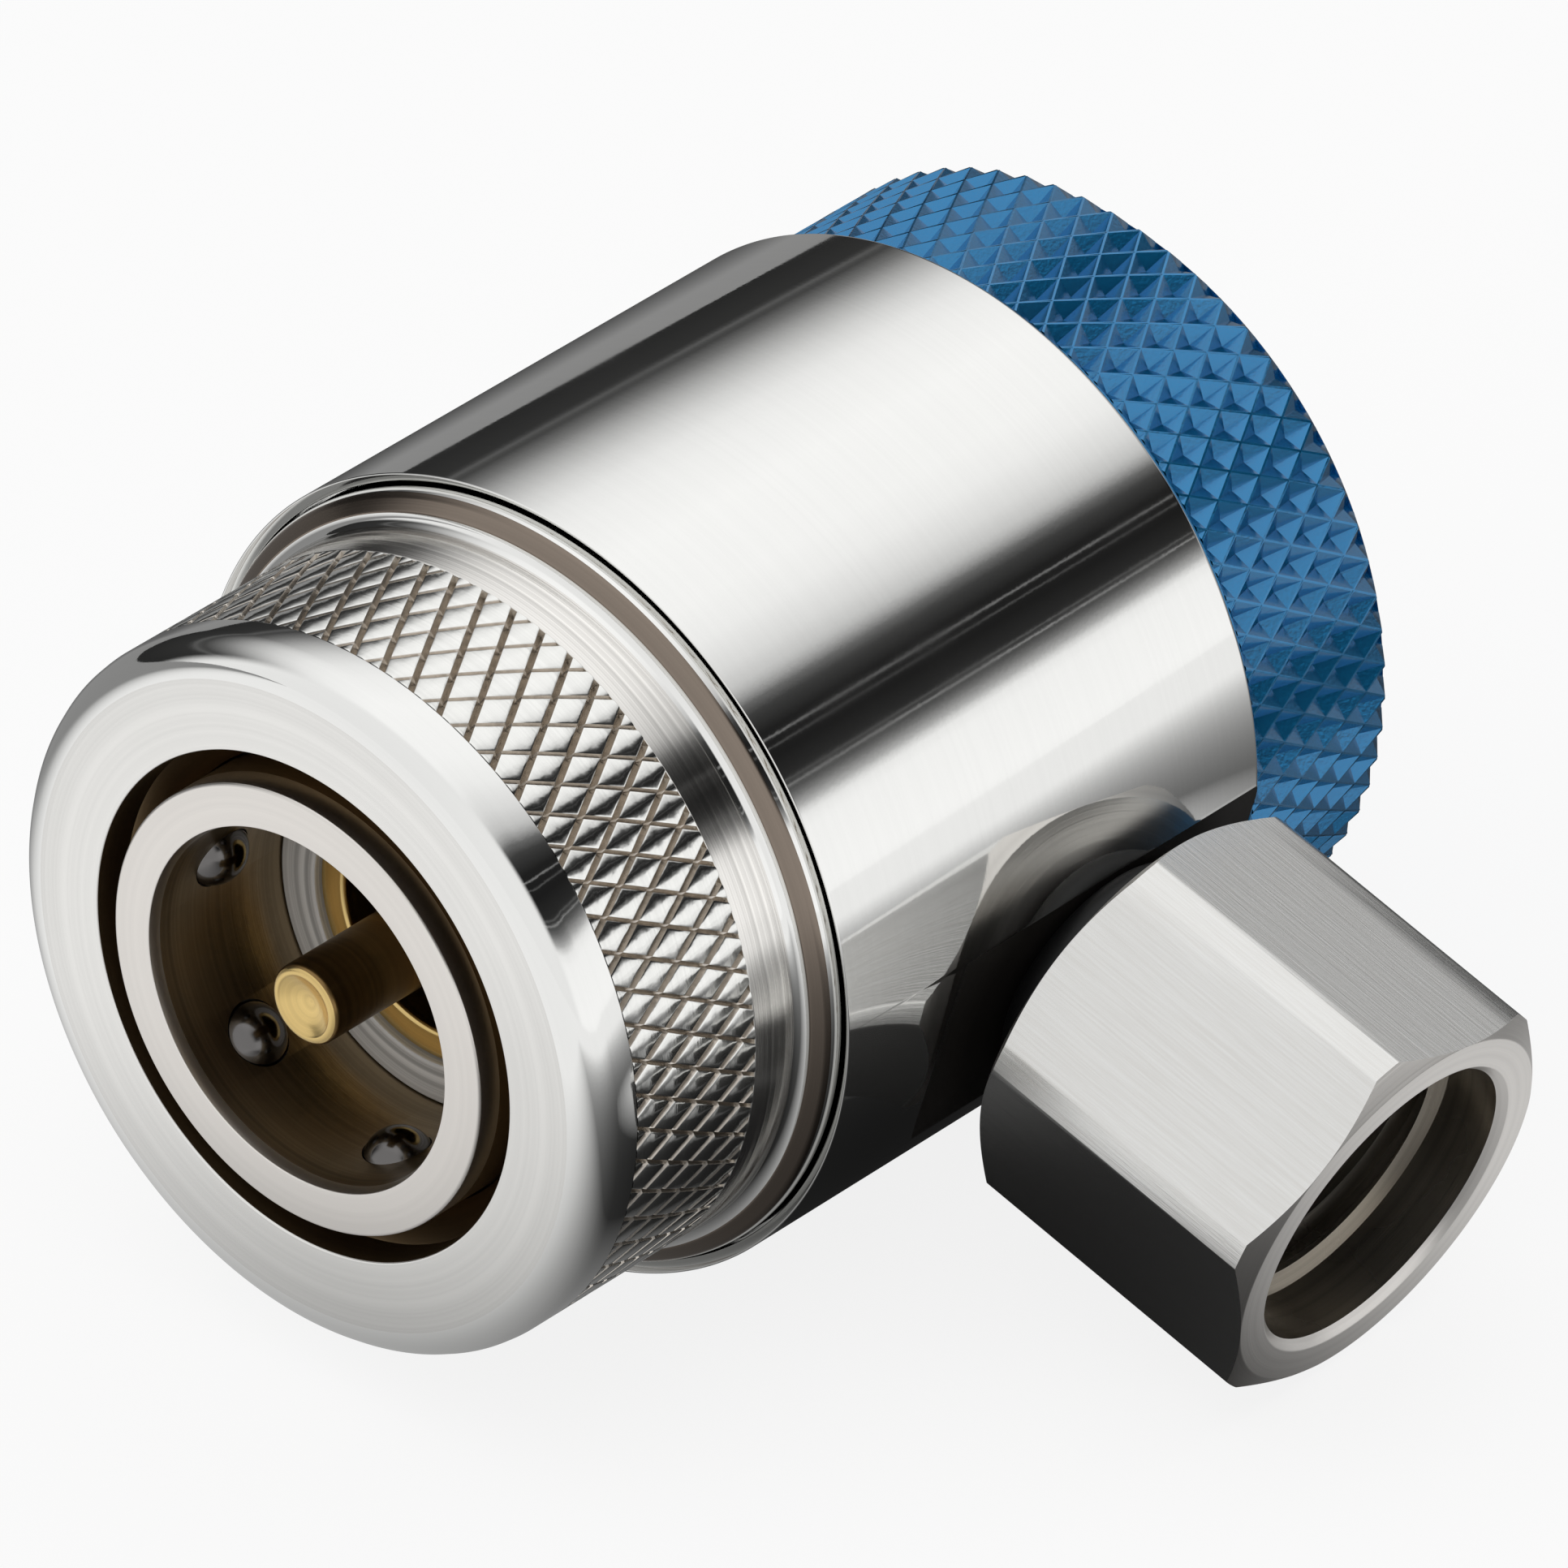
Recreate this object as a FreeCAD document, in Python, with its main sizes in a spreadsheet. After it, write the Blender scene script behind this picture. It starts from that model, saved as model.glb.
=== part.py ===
import FreeCAD, Part
import math
import os
import Sketcher

# Refrigerant hose coupler: a quick-connect socket with a ball lock, a valve
# depressor worked by a hand wheel, and a hexagon hose port in the side.
#
# Frame: the origin is the centre of the socket's front face. The body axis is
# Y, with the mouth facing -Y and the hand wheel at +Y, and +Z is up. Every
# piece is drawn with the hose port along +X and then turned about Y by
# rest_angle, so that the coupler lies on its barrel and one hexagon corner.

os.makedirs("parts", exist_ok=True)
doc = FreeCAD.newDocument("refrigerant_coupler")

# Driving sizes in millimetres and degrees
SIZES = [
    ("rest_angle", 15.25),
    # socket nose and its seal stack
    ("bore_dia", 13.06),
    ("bore_lead", 0.10),
    ("bore_lead_long", 0.45),
    ("nose_dia", 16.36),
    ("edge_break", 0.12),
    ("nose_flange_thick", 1.0),
    ("nose_thread_dia", 15.8),
    ("nose_thread_long", 4.4),
    ("thread_gap", 0.03),
    ("bush_seat", 0.55),
    ("washer_at", 6.33),
    ("washer_thick", 0.60),
    ("washer_gap", 0.07),
    ("seal_thick", 1.52),
    ("bush_drop", 0.27),
    ("bush_long", 4.4),
    ("bush_room", 0.06),
    ("bush_wall", 1.0),
    ("bush_chamfer", 0.20),
    # ball lock
    ("ball_dia", 2.50),
    ("ball_at", 3.20),
    ("ball_angle", 0.60),
    ("ball_gap", 0.02),
    ("ball_play", 0.04),
    ("ball_lip", 0.15),
    ("ball_lip_long", 0.27),
    # locking sleeve
    ("ring_step", 1.05),
    ("sleeve_front", 0.28),
    ("sleeve_round", 1.20),
    ("mouth_room", 1.05),
    ("land_gap", 0.08),
    ("land_lead", 0.50),
    ("land_long", 1.45),
    ("rear_land_long", 1.05),
    ("cove_lead", 0.65),
    ("cove_round", 0.42),
    ("cove_face", 0.45),
    ("ring_cone_long", 0.40),
    ("ring_round", 0.45),
    ("ring_long", 1.57),
    ("tail_wall", 1.70),
    # cross knurl of the sleeve: deep grooves that lean one way, shallow ones the other way
    ("knurl_lead", 2.14),
    ("fine_band", 2.20),
    ("knurl_count", 63),
    ("knurl_tall", 2.26),
    ("knurl_angle", 3.47),
    ("knurl_deep", 0.34),
    ("knurl_wide", 0.34),
    ("cross_deep", 0.26),
    ("cross_wide", 0.26),
    # stop ring that keeps the sleeve on the nose
    ("stop_behind", 2.80),
    ("stop_deep", 0.43),
    ("stop_thick", 0.70),
    ("stop_stand", 0.57),
    ("stop_gap", 0.02),
    ("stop_room", 0.10),
    ("stop_play", 0.03),
    ("stop_split", 1.6),
    # sleeve spring
    ("spring_gap", 0.45),
    ("spring_wire", 1.10),
    ("spring_turns", 4),
    # barrel
    ("barrel_dia", 29.08),
    ("barrel_front", 11.03),
    ("mouth_wall", 0.39),
    ("mouth_gap", 0.10),
    ("mouth_chamfer_deep", 0.27),
    ("mouth_rim", 0.04),
    ("mouth_long", 3.87),
    ("cup_step", 0.30),
    ("cup_deep", 4.97),
    ("rear_break", 0.20),
    ("gland_dia", 14.0),
    ("gland_deep", 5.20),
    # side port and its hexagon fitting
    ("port_behind", 8.37),
    ("port_to_rear", 7.43),
    ("spot_dia", 17.0),
    ("spot_deep", 0.62),
    ("stub_dia", 11.08),
    ("stub_wall", 0.27),
    ("neck_dia", 8.90),
    ("hex_across", 14.0),
    ("corner_stand", 0.80),
    ("hex_stand", 1.88),
    ("hex_long", 12.0),
    ("hex_angle", 46.3),
    ("entry_dia", 11.76),
    ("entry_chamfer", 0.30),
    ("counter_long", 2.40),
    ("hose_thread_dia", 9.94),
    ("hose_thread_long", 6.9),
    ("gasket_step", 0.17),
    ("gasket_thick", 0.90),
    ("gasket_drop", 0.25),
    ("gasket_gap", 0.05),
    ("passage_dia", 4.0),
    # gland
    ("packing_thick", 0.60),
    ("gland_drop", 0.20),
    ("packing_gap", 0.08),
    ("pocket_gap", 0.05),
    ("gland_pocket_long", 1.65),
    ("stem_seal_thick", 1.54),
    ("spindle_gap", 0.05),
    ("spanner_hole_dia", 1.4),
    ("spanner_hole_deep", 1.2),
    ("spanner_circle_dia", 10.8),
    # depressor pin and spindle
    ("pin_dia", 2.92),
    ("pin_tip", 0.35),
    ("pin_tip_dia", 2.60),
    ("pin_dish_dia", 2.20),
    ("pin_dish_deep", 0.40),
    ("pin_tip_chamfer", 0.20),
    ("pin_head_in", 0.90),
    ("pin_head_gap", 0.10),
    ("pin_head_long", 1.50),
    ("pin_play", 0.05),
    ("spindle_dia", 6.34),
    ("spindle_behind", 1.50),
    ("spindle_chamfer", 0.20),
    ("spindle_wall", 0.87),
    ("retainer_gap", 0.09),
    ("retainer_thick", 0.80),
    ("square_across", 4.20),
    ("square_long", 2.70),
    ("square_gap", 0.04),
    ("screw_gap", 0.04),
    ("screw_hole_long", 5.6),
    # hand wheel
    ("wheel_dia", 27.8),
    ("wheel_gap", 0.40),
    ("wheel_long", 7.40),
    ("wheel_front_break", 0.15),
    ("wheel_chamfer", 0.60),
    # pressed knurl of the wheel: rows of diamond pits with thin ridges between them
    ("pit_count", 68),
    ("pit_rows", 7),
    ("pit_lead", 0.52),
    ("pit_tall", 2.11),
    ("pit_ridge", 0.08),
    ("pit_deep", 0.40),
    ("pit_proud", 0.02),
    ("wheel_front_rim", 3.40),
    ("wheel_front_deep", 1.00),
    ("wheel_web", 2.80),
    ("wheel_rear_rim", 3.60),
    ("wheel_rear_deep", 1.20),
    ("wheel_rear_draft", 0.20),
    ("wheel_counter_room", 0.60),
    ("wheel_washer_dia", 7.20),
    ("wheel_washer_thick", 0.50),
    ("wheel_washer_gap", 0.14),
    ("screw_dia", 2.92),
    ("screw_head_dia", 5.50),
    ("screw_head_high", 1.70),
    ("screw_key", 2.0),
    ("screw_key_deep", 1.10),
    ("screw_long", 5.6),
    ("screw_lead", 0.30),
    ("screw_head_chamfer", 0.25),
    # how far a cutter reaches past the face it cuts
    ("cut_over", 1.0),
]

sheet = doc.addObject("Spreadsheet::Sheet", "Sizes")
for row, (alias, number) in enumerate(SIZES, start=1):
    sheet.set("A%d" % row, alias)
    sheet.set("B%d" % row, str(number))
    sheet.setAlias("B%d" % row, alias)
doc.recompute()


class Size:
    """A number from the sheet together with the expression that gives it."""

    def __init__(self, value, text):
        self.value = value
        self.text = text

    def __add__(self, other):
        other = as_size(other)
        return Size(self.value + other.value, "(%s + %s)" % (self.text, other.text))

    def __sub__(self, other):
        other = as_size(other)
        return Size(self.value - other.value, "(%s - %s)" % (self.text, other.text))

    def __mul__(self, other):
        other = as_size(other)
        return Size(self.value * other.value, "(%s * %s)" % (self.text, other.text))

    def __truediv__(self, other):
        other = as_size(other)
        return Size(self.value / other.value, "(%s / %s)" % (self.text, other.text))


# two edges closer than this, in millimetres, are the same edge
SAME_EDGE = 1e-4


def as_size(item):
    if isinstance(item, Size):
        return item
    return Size(float(item), "%.9g" % item)


def size(alias):
    return Size(float(getattr(sheet, alias)), "Sizes.%s" % alias)


def cosine(angle):
    return Size(math.cos(math.radians(angle.value)), "cos(%s * 1 deg)" % angle.text)


def sine(angle):
    return Size(math.sin(math.radians(angle.value)), "sin(%s * 1 deg)" % angle.text)


def half(alias):
    return size(alias) / 2


def origin_plane(body, role):
    for feature in body.Origin.OriginFeatures:
        if feature.Role == role:
            return feature
    raise RuntimeError("no origin plane " + role)


def place(sketch, geo, pos, x, y):
    """Hold one sketch point at a place given by two sizes."""
    for axis, name, item in ((-2, "DistanceX", as_size(x)), (-1, "DistanceY", as_size(y))):
        if item.value == 0 and item.text == "0":
            sketch.addConstraint(Sketcher.Constraint("PointOnObject", geo, pos, axis))
        elif item.value > 0:
            index = sketch.addConstraint(Sketcher.Constraint(name, -1, 1, geo, pos, item.value))
            sketch.setExpression("Constraints[%d]" % index, item.text)
        else:
            index = sketch.addConstraint(Sketcher.Constraint(name, geo, pos, -1, 1, -item.value))
            sketch.setExpression("Constraints[%d]" % index, "-1 * " + item.text)


def outline(sketch, points):
    """Draw a closed outline of straight lines through dimensioned points."""
    spots = [FreeCAD.Vector(as_size(x).value, as_size(y).value, 0) for x, y in points]
    first = sketch.GeometryCount
    count = len(points)
    for i in range(count):
        sketch.addGeometry(Part.LineSegment(spots[i], spots[(i + 1) % count]), False)
    for i in range(count):
        sketch.addConstraint(
            Sketcher.Constraint("Coincident", first + i, 2, first + (i + 1) % count, 1))
    for i, (x, y) in enumerate(points):
        place(sketch, first + i, 1, x, y)


def new_sketch(body, name, role="XY_Plane"):
    sketch = body.newObject("Sketcher::SketchObject", name)
    sketch.AttachmentSupport = [(origin_plane(body, role), "")]
    sketch.MapMode = "FlatFace"
    return sketch


def new_body(label, turn=None):
    body = doc.addObject("PartDesign::Body", label)
    body.Label = label
    turn = turn or size("rest_angle")
    body.Placement = FreeCAD.Placement(
        FreeCAD.Vector(0, 0, 0), FreeCAD.Rotation(FreeCAD.Vector(0, 1, 0), turn.value))
    body.setExpression("Placement.Rotation.Angle", "%s * 1 deg" % turn.text)
    return body


def turned(body, points, name="turned"):
    """Add a turned solid about Y from a closed outline of (radius, y) points."""
    sketch = new_sketch(body, "%s_%s_outline" % (body.Name, name))
    outline(sketch, points)
    feature = body.newObject("PartDesign::Revolution", "%s_%s" % (body.Name, name))
    feature.Profile = sketch
    feature.ReferenceAxis = (sketch, ["V_Axis"])
    feature.Angle = 360
    doc.recompute()
    return feature


def bored_along(body, centre, points, name, kind="PartDesign::Groove"):
    """Cut or add a turned form about the line y = centre, along X."""
    sketch = new_sketch(body, "%s_%s_outline" % (body.Name, name))
    middle = as_size(centre)
    ends = (FreeCAD.Vector(0, middle.value, 0), FreeCAD.Vector(hex_end.value, middle.value, 0))
    line = sketch.addGeometry(Part.LineSegment(*ends), True)
    place(sketch, line, 1, ZERO, middle)
    place(sketch, line, 2, hex_end, middle)
    outline(sketch, [(x, middle + r) for x, r in points])
    feature = body.newObject(kind, "%s_%s" % (body.Name, name))
    feature.Profile = sketch
    feature.ReferenceAxis = (sketch, ["Axis0"])
    feature.Angle = 360
    before = body.Shape.Volume
    doc.recompute()
    if kind == "PartDesign::Groove" and not body.Shape.Volume < before - 1e-6:
        raise RuntimeError("nothing cut by " + feature.Name)
    return feature


def rounded(body, feature, radius, spots, kind="PartDesign::Fillet"):
    """Round or bevel the circular edges at the given (radius, y) spots."""
    names = []
    for r, y in spots:
        for i, edge in enumerate(feature.Shape.Edges):
            curve = edge.Curve
            if not isinstance(curve, Part.Circle):
                continue
            off_radius = abs(curve.Radius - as_size(r).value)
            off_place = abs(curve.Center.y - as_size(y).value)
            if max(off_radius, off_place) < SAME_EDGE:
                names.append("Edge%d" % (i + 1))
    if not names:
        raise RuntimeError("no edge found for " + body.Name)
    dress = body.newObject(kind, "%s_%s" % (body.Name, kind.split("::")[1]))
    dress.Base = (feature, names)
    prop = "Radius" if kind.endswith("Fillet") else "Size"
    setattr(dress, prop, as_size(radius).value)
    dress.setExpression(prop, as_size(radius).text)
    doc.recompute()
    return dress


ZERO = Size(0.0, "0")
nodes = {}

# Places that several pieces share, worked out from the barrel, the nose and the ball lock
over = size("cut_over")
barrel_radius = half("barrel_dia")
mouth = barrel_radius - size("mouth_wall")
ring_radius = mouth - size("mouth_gap")
sleeve_radius = ring_radius - size("ring_step")
spot_at = barrel_radius - size("spot_deep")
stub_at = half("nose_thread_dia") + size("thread_gap") + size("stub_wall")
hex_at = spot_at + size("hex_stand")
hex_end = hex_at + size("hex_long")
tail_radius = sleeve_radius - size("tail_wall")
coil_radius = tail_radius - half("spring_wire") - size("spring_gap")
nose_radius = half("nose_dia")
land_radius = nose_radius + size("land_gap")
bush_radius = half("bore_dia") - size("seal_thick") - size("bush_room")
chamber_radius = bush_radius - size("bush_seat")
nose_seat = size("barrel_front") + size("cup_deep")
port_at = nose_seat + size("port_behind")
barrel_rear = port_at + size("port_to_rear")
gland_at = barrel_rear - size("gland_deep")
wheel_front = barrel_rear + size("wheel_gap")
shoulder_at = wheel_front + size("wheel_front_deep")
land_at = size("ball_at") - size("land_lead")
stop_at = size("ball_at") + size("stop_behind")

# Socket nose: the plated tube that takes the service port, screwed into the barrel
washer_rear = size("washer_at") + size("washer_thick")
seal_seat = washer_rear + size("seal_thick")
bush_at = size("washer_at") + size("bush_drop")
bush_rear = bush_at + size("bush_long")
nose_end = nose_seat + size("nose_thread_long")
flange_front = nose_seat - size("nose_flange_thick")
flange_radius = coil_radius - half("spring_wire") - size("spring_gap")
nose_turn = size("rest_angle") - size("ball_angle")
stop_end = stop_at + size("stop_thick") + size("stop_gap") * 2
groove_radius = nose_radius - size("stop_deep")

nose = new_body("socket_nose", nose_turn)
turned(nose, [
    (half("bore_dia") + size("bore_lead"), ZERO),
    (nose_radius - size("edge_break"), ZERO),
    (nose_radius, size("edge_break")),
    (nose_radius, stop_at),
    (groove_radius, stop_at),
    (groove_radius, stop_end),
    (nose_radius, stop_end),
    (nose_radius, flange_front),
    (flange_radius, flange_front),
    (flange_radius, nose_seat),
    (half("nose_thread_dia"), nose_seat),
    (half("nose_thread_dia"), nose_end),
    (chamber_radius, nose_end),
    (chamber_radius, bush_rear),
    (bush_radius + size("thread_gap"), bush_rear),
    (bush_radius + size("thread_gap"), seal_seat),
    (half("bore_dia"), seal_seat),
    (half("bore_dia"), size("bore_lead_long")),
])
ball_hole = half("ball_dia") + size("ball_play") / 2
ball_lip = half("ball_dia") - size("ball_lip") / 2
hole = bored_along(nose, size("ball_at"), [
    (half("bore_dia") - over, ZERO),
    (half("bore_dia") - over, ball_lip),
    (half("bore_dia"), ball_lip),
    (half("bore_dia") + size("ball_lip_long"), ball_hole),
    (nose_radius + over, ball_hole),
    (nose_radius + over, ZERO),
], "ball_hole")
ring = nose.newObject("PartDesign::PolarPattern", "ball_holes")
ring.Originals = [hole]
ring.Axis = (origin_plane(nose, "Y_Axis"), [""])
ring.Angle = 360
ring.Occurrences = 6
nose.Tip = ring
doc.recompute()
nodes["socket_nose"] = nose

# Locking balls, held in the nose's holes by the land inside the sleeve
ball_circle = land_radius - half("ball_dia") - size("ball_gap")
balls = []
for k in range(6):
    ball = doc.addObject("Part::Sphere", "ball_%d" % (k + 1))
    ball.Radius = half("ball_dia").value
    ball.setExpression("Radius", half("ball_dia").text)
    around = nose_turn + 60 * k
    spot = (ball_circle * cosine(around), size("ball_at"), ball_circle * sine(around) * -1)
    ball.Placement.Base = FreeCAD.Vector(*[item.value for item in spot])
    for axis, item in zip("xyz", spot):
        ball.setExpression("Placement.Base.%s" % axis, item.text)
    balls.append(ball)
group = doc.addObject("Part::Compound", "locking_balls")
group.Label = "locking_balls"
group.Links = balls
nodes["locking_balls"] = group

# Seal stack at the bottom of the socket: washer, ring seal and brass bush
washer_bore = bush_radius + size("washer_gap")
washer = new_body("seal_washer")
turned(washer, [
    (washer_bore, size("washer_at")),
    (half("bore_dia") - size("thread_gap"), size("washer_at")),
    (half("bore_dia") - size("thread_gap"), washer_rear),
    (washer_bore, washer_rear),
])
nodes["seal_washer"] = washer

bush_bore = bush_radius - size("bush_wall")
bush = new_body("seal_bush")
turned(bush, [
    (bush_bore + size("bush_chamfer"), bush_at),
    (bush_radius, bush_at),
    (bush_radius, bush_rear),
    (bush_bore, bush_rear),
    (bush_bore, bush_at + size("bush_chamfer")),
])
nodes["seal_bush"] = bush


def ring_seal(label, coil, thick, y):
    """A ring seal about Y: coil is the radius of its middle line."""
    seal = doc.addObject("Part::Torus", label)
    seal.Label = label
    seal.Radius1 = coil.value
    seal.Radius2 = (thick / 2).value
    seal.setExpression("Radius1", coil.text)
    seal.setExpression("Radius2", (thick / 2).text)
    seal.Placement = FreeCAD.Placement(
        FreeCAD.Vector(0, y.value, 0), FreeCAD.Rotation(FreeCAD.Vector(1, 0, 0), -90))
    seal.setExpression("Placement.Base.y", y.text)
    nodes[label] = seal
    return seal


ring_seal("port_seal", half("bore_dia") - size("seal_thick") / 2 - size("thread_gap"),
          size("seal_thick"), washer_rear + size("seal_thick") / 2)

# Locking sleeve: the knurled collar that slides back to free the balls
recess_rear = stop_end - size("stop_gap") + size("stop_play")
cone_base = sleeve_radius + size("cove_face")
cove_at = size("barrel_front") - size("cove_lead")
cone_top = cove_at + size("ring_cone_long")
ring_rear = size("barrel_front") + size("ring_long")
sleeve_mouth = nose_radius + size("mouth_room")
stop_radius = nose_radius + size("stop_stand")
recess_radius = stop_radius + size("stop_room")
land_rear = recess_rear + size("rear_land_long")
sleeve = new_body("locking_sleeve", size("rest_angle") - size("knurl_angle"))
body_of_sleeve = turned(sleeve, [
    (sleeve_mouth, size("sleeve_front")),
    (sleeve_radius, size("sleeve_front")),
    (sleeve_radius, cove_at),
    (cone_base, cove_at),
    (ring_radius, cone_top),
    (ring_radius, ring_rear),
    (tail_radius, ring_rear),
    (tail_radius, land_rear),
    (land_radius, land_rear),
    (land_radius, recess_rear),
    (recess_radius, recess_rear),
    (recess_radius, land_at + size("land_long")),
    (land_radius, land_at + size("land_long")),
    (land_radius, land_at),
    (sleeve_mouth, land_at - sleeve_mouth + land_radius),
])
front_edge = [(sleeve_radius, size("sleeve_front"))]
dressed = rounded(sleeve, body_of_sleeve, size("sleeve_round"), front_edge)
dressed = rounded(sleeve, dressed, size("ring_round"), [(ring_radius, cone_top)])
rounded(sleeve, dressed, size("cove_round"), [(sleeve_radius, cove_at)])

# The sleeve's knurl: one V groove leaning each way, repeated round the sleeve. Each groove is a
# straight cut from end to end of the knurled band, so it is deepest at the middle of the band.
knurl_front = size("sleeve_front") + size("knurl_lead")
knurl_long = cove_at - size("fine_band") - knurl_front
knurl_slope = sleeve_radius * (2 * math.pi) / size("knurl_count") / size("knurl_tall")
lean = knurl_slope * knurl_long / 2
grooves = []
for name, way in (("knurl", 1), ("cross", -1)):
    deep = size(name + "_deep")
    flare = half(name + "_wide") / deep * (deep + over)
    section = new_sketch(sleeve, "%s_groove_outline" % name, "XZ_Plane")
    section.AttachmentOffset = FreeCAD.Placement(
        FreeCAD.Vector(0, 0, -knurl_front.value), FreeCAD.Rotation())
    section.setExpression("AttachmentOffset.Base.z", "-1 * " + knurl_front.text)
    outline(section, [
        (sleeve_radius - deep, lean * -way),
        (sleeve_radius + over, lean * -way + flare),
        (sleeve_radius + over, lean * -way - flare),
    ])
    groove = sleeve.newObject("PartDesign::Pocket", "%s_groove" % name)
    groove.Profile = section
    groove.UseCustomVector = True
    groove.AlongSketchNormal = True
    groove.Direction = FreeCAD.Vector(0, 1, way * knurl_slope.value)
    groove.setExpression("Direction.z", (knurl_slope * way).text)
    groove.Length = knurl_long.value
    groove.setExpression("Length", knurl_long.text)
    before = sleeve.Shape.Volume
    doc.recompute()
    if not sleeve.Shape.Volume < before - 0.1:
        raise RuntimeError("nothing cut by " + groove.Name)
    grooves.append(groove)
knurl = sleeve.newObject("PartDesign::PolarPattern", "sleeve_knurl")
knurl.Originals = grooves
knurl.Axis = (origin_plane(sleeve, "Y_Axis"), [""])
knurl.Angle = 360
knurl.Occurrences = int(size("knurl_count").value)
knurl.setExpression("Occurrences", size("knurl_count").text)
sleeve.Tip = knurl
doc.recompute()
nodes["locking_sleeve"] = sleeve

# Split stop ring in the nose's groove, which keeps the sleeve from leaving the nose
stop = new_body("sleeve_stop_ring")
stop_front = stop_at + size("stop_gap")
turned(stop, [
    (groove_radius + size("stop_gap"), stop_front),
    (stop_radius, stop_front),
    (stop_radius, stop_front + size("stop_thick")),
    (groove_radius + size("stop_gap"), stop_front + size("stop_thick")),
])
split = new_sketch(stop, "sleeve_stop_ring_split", "XZ_Plane")
split_side = half("stop_split")
outline(split, [
    (split_side * -1, groove_radius - over),
    (split_side, groove_radius - over),
    (split_side, stop_radius + over),
    (split_side * -1, stop_radius + over),
])
slit = stop.newObject("PartDesign::Pocket", "sleeve_stop_ring_slit")
slit.Profile = split
slit.Type = "ThroughAll"
slit.Midplane = True
before = stop.Shape.Volume
doc.recompute()
if not stop.Shape.Volume < before - 0.5:
    raise RuntimeError("stop ring not split")
nodes["sleeve_stop_ring"] = stop

# Sleeve spring, between the sleeve's shoulder and the floor of the barrel's cup
spring = new_body("sleeve_spring")
wire_sketch = new_sketch(spring, "sleeve_spring_wire")
start = land_rear + half("spring_wire")
wire_circle = Part.Circle(
    FreeCAD.Vector(coil_radius.value, start.value, 0), FreeCAD.Vector(0, 0, 1),
    half("spring_wire").value)
wire = wire_sketch.addGeometry(wire_circle, False)
place(wire_sketch, wire, 3, coil_radius, start)
index = wire_sketch.addConstraint(Sketcher.Constraint("Radius", wire, half("spring_wire").value))
wire_sketch.setExpression("Constraints[%d]" % index, half("spring_wire").text)
coil = spring.newObject("PartDesign::AdditiveHelix", "sleeve_spring_coil")
coil.Profile = wire_sketch
coil.ReferenceAxis = (wire_sketch, ["V_Axis"])
coil.Mode = "height-turns-angle"
coil_high = nose_seat - land_rear - size("spring_wire")
coil.Height = coil_high.value
coil.setExpression("Height", coil_high.text)
coil.Turns = size("spring_turns").value
coil.setExpression("Turns", size("spring_turns").text)
doc.recompute()
nodes["sleeve_spring"] = spring

# Barrel: the plated body, with a cup for the sleeve, the valve chamber and the side port
mouth_end = size("barrel_front") + size("mouth_long")
rim = barrel_radius - size("mouth_rim")
cup_radius = tail_radius + size("cup_step")
barrel = new_body("barrel")
turned(barrel, [
    (mouth, size("barrel_front") + size("mouth_chamfer_deep")),
    (rim, size("barrel_front")),
    (barrel_radius, size("barrel_front") + size("mouth_rim")),
    (barrel_radius, barrel_rear - size("rear_break")),
    (barrel_radius - size("rear_break"), barrel_rear),
    (half("gland_dia") + size("thread_gap"), barrel_rear),
    (half("gland_dia") + size("thread_gap"), gland_at),
    (chamber_radius, gland_at),
    (chamber_radius, nose_end),
    (half("nose_thread_dia") + size("thread_gap"), nose_end),
    (half("nose_thread_dia") + size("thread_gap"), nose_seat),
    (cup_radius, nose_seat),
    (cup_radius, mouth_end),
    (mouth, mouth_end),
])
bored_along(barrel, port_at, [
    (ZERO, ZERO),
    (ZERO, half("passage_dia")),
    (stub_at, half("passage_dia")),
    (stub_at, half("stub_dia") + size("thread_gap")),
    (spot_at, half("stub_dia") + size("thread_gap")),
    (spot_at, half("spot_dia")),
    (barrel_radius + over, half("spot_dia")),
    (barrel_radius + over, ZERO),
], "side_port")
nodes["barrel"] = barrel

# Hexagon hose fitting, screwed into the barrel's side
fitting = new_body("port_fitting")
flat = new_sketch(fitting, "port_fitting_hexagon", "YZ_Plane")
flat.AttachmentOffset = FreeCAD.Placement(
    FreeCAD.Vector(0, 0, hex_at.value), FreeCAD.Rotation())
flat.setExpression("AttachmentOffset.Base.z", hex_at.text)
corner = size("hex_across") / math.sqrt(3)
points = []
for k in range(6):
    around = size("hex_angle") + 60 * k
    points.append((port_at + corner * cosine(around), corner * sine(around)))
outline(flat, points)
bar = fitting.newObject("PartDesign::Pad", "port_fitting_bar")
bar.Profile = flat
bar_long = hex_end - hex_at
bar.Length = bar_long.value
bar.setExpression("Length", bar_long.text)
doc.recompute()
bevel = size("corner_stand") * math.tan(math.radians(30))
turned_radius = half("hex_across") + size("corner_stand")
bored_along(fitting, port_at, [
    (hex_at, half("hex_across")),
    (hex_at + bevel, turned_radius),
    (hex_end - bevel, turned_radius),
    (hex_end, half("hex_across")),
    (hex_end, turned_radius + over),
    (hex_at, turned_radius + over),
], "turned_ends")
bored_along(fitting, port_at, [
    (stub_at, ZERO),
    (stub_at, half("stub_dia")),
    (spot_at, half("stub_dia")),
    (spot_at, half("neck_dia")),
    (hex_at, half("neck_dia")),
    (hex_at, ZERO),
], "stub", "PartDesign::Revolution")
counter_end = hex_end - size("counter_long")
thread_in = counter_end - (half("entry_dia") - size("entry_chamfer") - half("hose_thread_dia")) * 0.5
thread_end = thread_in - size("hose_thread_long")
gasket_end = thread_end - size("gasket_thick") - size("gasket_drop")
gasket_seat = half("hose_thread_dia") - size("gasket_step")
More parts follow.
